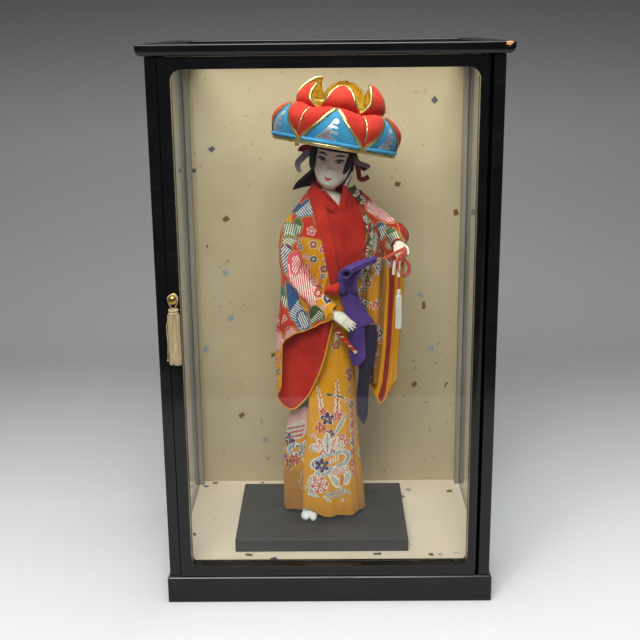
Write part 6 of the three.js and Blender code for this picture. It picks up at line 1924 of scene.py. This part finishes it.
def carved_hand(name, wrist, aim, roll, bends, node, spread=0.05, size=1.14):
    piece = Piece(name, hand_frame(wrist, aim, roll) @ Matrix.Scale(size, 4))
    bud(piece, (-4, 0, 0), (3, 0, 0), 3.3, 3.5, HAND_SHELL)
    for y in (-2.7, -0.9, 0.9, 2.7):
        bud(piece, (3, y * 0.75, 0.1), (11.2, y * 1.25, 0.3 - 0.08 * y * y), 2.7, 1.75, HAND_SHELL)
    for i in range(4):
        y = 3.55 - 2.37 * i
        fan = spread * (1.5 - i)
        place, angle = np.array([10.8, y, 0.2 - 0.07 * y * y]), 0.0
        sizes = [(4.9, 1.32, 1.26), (3.9, 1.26, 1.16), (3.2, 1.16, 0.9)]
        for k, (length, first, last) in enumerate(sizes):
            angle += bends[k]
            share = (0.93, 1.05, 1.0, 0.82)[i]
            step = np.array([math.cos(angle) * math.cos(fan), math.cos(angle) * math.sin(fan),
                             -math.sin(angle)]) * length * share
            bud(piece, place, place + step, first, last, HAND_SHELL)
            place = place + step
    thumb = [(3.2, 3.4, -1.0), (7.2, 5.6, -2.6), (11.4, 5.6, -3.8), (14.4, 5.2, -4.2)]
    for start, end, first, last in zip(thumb[:-1], thumb[1:], (2.2, 1.6, 1.4), (1.6, 1.4, 1.0)):
        bud(piece, start, end, first, last, HAND_SHELL)
    dress(run_together(piece, 0.00034, HAND_SHELL), node)


carved_hand("right_hand_carved", (14.6, -37, 239.4), (34, -42, 227), 0.9, (0.16, 0.12, 0.1), "right_hand")
carved_hand("left_hand_carved", (82.4, -22, 309.4), (82.8, -40, 305.4), 0.38, (1.15, 1.2, 0.8), "left_hand",
            0.03, 1.3)


def sock_foot(name, x, y, inner, node):
    """A split-toe sock: heel, ball, big toe and the other toes."""
    piece = Piece(name, DOLL)
    heel, ball = y + 7, y - 13
    bud(piece, (x, heel, 4.2), (x, y - 4, 5.2), 4.6, 5.0, SOCK)
    for dx in (-4.6, 0, 4.6):
        bud(piece, (x + dx * 0.8, heel - 6, 4.4), (x + dx, ball, 4.2), 4.4, 4.2, SOCK)
    bud(piece, (x, y - 1, 8.6), (x, ball + 1, 6.0), 6.4, 5.6, SOCK)
    bud(piece, (x + inner * 4.0, ball, 4.2), (x + inner * 4.1, ball - 6.8, 3.7), 4.3, 3.7, SOCK)
    bud(piece, (x - inner * 4.0, ball + 0.6, 4.2), (x - inner * 4.3, ball - 4.4, 3.8), 4.3, 3.9, SOCK)
    bud(piece, (x - inner * 6.2, ball + 2, 3.8), (x - inner * 6.6, ball - 1.4, 3.4), 3.6, 3.2, SOCK)
    bud(piece, (x, y + 1, 6), (x, y + 1, 15), 5.6, 5.4, SOCK)
    dress(run_together(piece, 0.0007, SOCK), node)


sock_foot("right_foot_sock", -13.5, -9.5, 1, "right_foot")
sock_foot("left_foot_sock", 14, 4, -1, "left_foot")


# Cords held in the left hand: a bundle of flat cords, a loop, two paper strips and a silk tassel

def flat_cord(piece, path, width, thickness, material, lean):
    line = curve_through(path, 40)
    heading = unit(np.gradient(line, axis=0))
    side = unit(np.cross(heading, lean))
    deep = np.cross(heading, side)
    angle = full_turn(16)
    ring = (side[:, None] * (np.cos(angle) * width / 2)[None, :, None]
            + deep[:, None] * (np.sin(angle) * thickness / 2)[None, :, None])
    grid = line[:, None] + ring
    piece.skin(grid, lattice(40, 16, True), material, laid=stacked(angle / 6, column(0, 30, 40)))
    close_ends(piece, grid, material)
    return line


ORANGE_CORD = silk_cord("orange flat cord", ink(226, 92, 52), ink(182, 54, 30))
held_cords = []
for name, kind, path in [
        ("long_orange_cord", ORANGE_CORD, [(87, -33, 307.6), (87.4, -38.6, 309.2), (85.4, -43.2, 309),
                                           (79.6, -44.6, 306.4), (72.5, -44, 302.5), (65.6, -43, 298.4)]),
        ("short_orange_cord", ORANGE_CORD, [(87.4, -33, 307), (88, -38.8, 308.4), (86.6, -43.4, 307),
                                            (83, -45.4, 302.6), (78.4, -45.2, 296.8), (73.4, -44.2, 291)]),
        ("short_red_cord", RED_CORD, [(87.8, -33, 306.6), (88.6, -38.8, 307.8), (88, -43.2, 305.6),
                                      (86, -45.2, 300.6), (82.6, -45, 294.4), (79.6, -44, 288.6)])]:
    piece = Piece(name, DOLL)
    line = flat_cord(piece, path, 3.0, 1.1, kind, (0, -1, 0.15))
    held_cords.append((dress(piece.made()), line, 0.003, "bare"))
for name, shift in [("inner_red_loop", 0.0), ("outer_red_loop", 2.1)]:
    line = curve_through([(84.8, -43 - shift * 0.6, 302), (87.8 + shift * 0.6, -43.2, 297), (90.6 + shift, -43, 292),
                          (91.2 + shift, -43, 287.4), (90 + 0.8 * shift, -43.1, 283.8 - 0.7 * shift),
                          (86.9 + 0.3 * shift, -43.3, 282.2 - shift),
                          (83.8 - 0.5 * shift, -43.5 - 0.6 * shift, 283.8 - 0.7 * shift),
                          (82.6 - 0.8 * shift, -43.7 - shift, 287.4), (82.4 - 0.8 * shift, -43.8 - shift, 292),
                          (83 - 0.8 * shift, -43.6 - shift, 297.4)], 60)
    piece = Piece(name, DOLL)
    tube(piece, line, 0.9, RED_CORD, 8)
    held_cords.append((dress(piece.made()), line, 0.0018, "object"))

strips = Piece("hand_paper_strips", DOLL)
for path in ([(77.6, -45.6, 297.4), (76.4, -45.8, 290), (75.8, -45.6, 282.6)],
             [(81.6, -46, 297), (81.4, -46.2, 289), (81.4, -46, 280)]):
    line = curve_through(path, 24)
    v = np.linspace(-1.35, 1.35, 6)[None, :, None]
    ribbon_grid = line[::-1][:, None] + np.array([1, 0.12, 0]) * v
    lay_cloth(strips, ribbon_grid, 0.4, WHITE_SILK, WHITE_SILK, coarse=1)
paper = dress(strips.made())

top = np.array([82.0, -40.0, 301.6])
cord_line = curve_through([top, (82.2, -41, 293), (82.1, -40.4, 281), (82.0, -40, 266)], 90)
twist = Piece("hand_tassel_cord", DOLL)
tube(twist, cord_line, 0.9, RED_CORD, 10)
hand_cord = dress(twist.made(), "hand_cord", "hand_tassel")

seat = np.array([82.0, -40.0, 264.0])
roots = Piece("hand_tassel_silk", DOLL)
for ring, reach in enumerate((0.6, 1.4, 2.3, 3.1)):
    count = (6, 14, 22, 30)[ring]
    angle = full_turn(count) + 0.3 * ring
    spots = seat + stacked(reach * np.cos(angle), reach * np.sin(angle), -4.5 - 0.3 * ring)
    for spot in spots:
        roots.skin(spot + np.array([[0, 0, 0], [0.04, 0, 0], [0, 0.04, 0]]), [[0, 1, 2]], WHITE_SILK)
silk = roots.made()
apply_tree(silk, STRANDS, Length=0.0345, Radius=0.00034, Sway=0.0016, Seed=9, Steps=12, Finish=WHITE_SILK)
dress(silk, "hand_tassel", "hand_tassel")

neck = Piece("hand_tassel_head", DOLL)
bulb = revolved([(0.1, -6.6), (2.6, -6.4), (2.9, -5.4), (2.6, -4.4), (2.0, -3.8), (1.75, -3.2), (1.9, -1.6),
                 (2.05, 0), (1.9, 1.2), (1.3, 2.0), (0.1, 2.2)], 40, seat)
neck.skin(bulb, lattice(11, 40, True), WHITE_SILK)
close_ends(neck, bulb, WHITE_SILK)
bind(neck, seat - [0, 0, 1.9], 1.95, 0.55, 4, 0.3, WHITE_SILK, 40)
tassel_head = dress(neck.made(), body="hand_tassel")


# Cloth and cords: the middle line of each, passed to free_cord

for made, line, width, far in held_cords:
    free_cord(made, line, width, far, DOLL, *([paper] if made is held_cords[1][0] else []))
free_cord(hand_cord, cord_line, 0.0018, "fitting", DOLL, silk, tassel_head)
free_cord(belt_end, belt_line, 0.0048, "bare", DOLL)


# Stage: a pale table that runs up into a backdrop painted darker grey upwards, a painted fall-off of the light, and
# soft lamps

def stage_look(w):
    where = w.placed()
    _, y, z = where.parts()
    back = y + z * 1.2
    # The colour darkens going back and up the sweep: painted fall-off of the light.
    tone = back.ease(-0.25, 0.75).between(rgba(ink(208, 208, 209)), rgba(ink(152, 152, 153)))
    tone = back.ease(0.7, 1.75).between(tone, rgba(ink(130, 130, 132)))
    return {"Base Color": back.ease(1.6, 2.3).between(tone, rgba(ink(56, 56, 59))),
            "Roughness": w.noise(where, 4.0, 2.0).ease(0.2, 0.8, 0.75, 0.85)}


STAGE = finish("seamless backdrop", stage_look, Specular_IOR_Level=0.1)
run = np.linspace(0, 1, 60)
bend = 0.55
turned = np.clip((run - 0.4) / 0.3, 0, 1) * math.pi / 2
profile_y = np.where(run < 0.4, mix(-0.74, 0.75, run / 0.4), 0.75 + bend * np.sin(turned))
profile_z = np.where(run < 0.4, 0, bend * (1 - np.cos(turned))) + np.clip((run - 0.7) / 0.3, 0, 1) * 2.6
width = np.linspace(-4, 4, 9)
sweep = Piece("seamless_backdrop", CASE)
sheet = stacked(width, profile_y[:, None], profile_z[:, None] - 0.0002) * 1000
sweep.skin(sheet, lattice(60, 9), STAGE)
backdrop = sweep.made()


def lamp(name, place, aim, size, power):
    data = bpy.data.lights.new(name, "AREA")
    data.shape = "RECTANGLE"
    data.size, data.size_y = size
    data.energy = power
    made = bpy.data.objects.new(name, data)
    made.location = place
    made.rotation_euler = (Vector(aim) - Vector(place)).to_track_quat("-Z", "Y").to_euler()
    bpy.context.scene.collection.objects.link(made)
    return made


lamps = [lamp("top_softbox", (0.04, -0.06, 1.15), (0, 0, 0.2), (0.7, 0.55), 11),
         lamp("high_softbox", (-0.12, -0.8, 1.74), (0, 0.1, 0.3), (0.95, 0.7), 8),
         lamp("key_softbox", (-0.3, -1.75, 2.05), (0, 0.05, 0.32), (1.5, 1.0), 58)]
world = bpy.data.worlds.new("studio air")
world.use_nodes = True
sky = world.node_tree.nodes["Background"]
sky.inputs["Color"].default_value = rgba(ink(225, 228, 235))
sky.inputs["Strength"].default_value = 0.16
bpy.context.scene.world = world

# Camera: its place, turn and focal length are fitted to the edges of the case

FOCAL_PIXELS, PICTURE_PIXELS = 1084.68, 640
EYE = Vector((0.002825, -1.133786, 0.579797))
yaw, pitch, roll = -0.0097, -0.2667, -0.0103
ahead = Vector((math.sin(yaw) * math.cos(pitch), math.cos(yaw) * math.cos(pitch), math.sin(pitch)))
right = Vector((math.cos(yaw), -math.sin(yaw), 0))
upward = right.cross(ahead)
eye_right = math.cos(roll) * right + math.sin(roll) * upward
eye_up = -math.sin(roll) * right + math.cos(roll) * upward
lens = bpy.data.cameras.new("studio camera")
lens.sensor_width = 36
lens.lens = FOCAL_PIXELS / PICTURE_PIXELS * lens.sensor_width
camera = bpy.data.objects.new("studio camera", lens)
camera.matrix_world = Matrix.Translation(EYE) @ Matrix((eye_right, eye_up, -ahead)).transposed().to_4x4()
bpy.context.scene.collection.objects.link(camera)
bpy.context.scene.camera = camera
bpy.context.scene.view_settings.view_transform = "Standard"
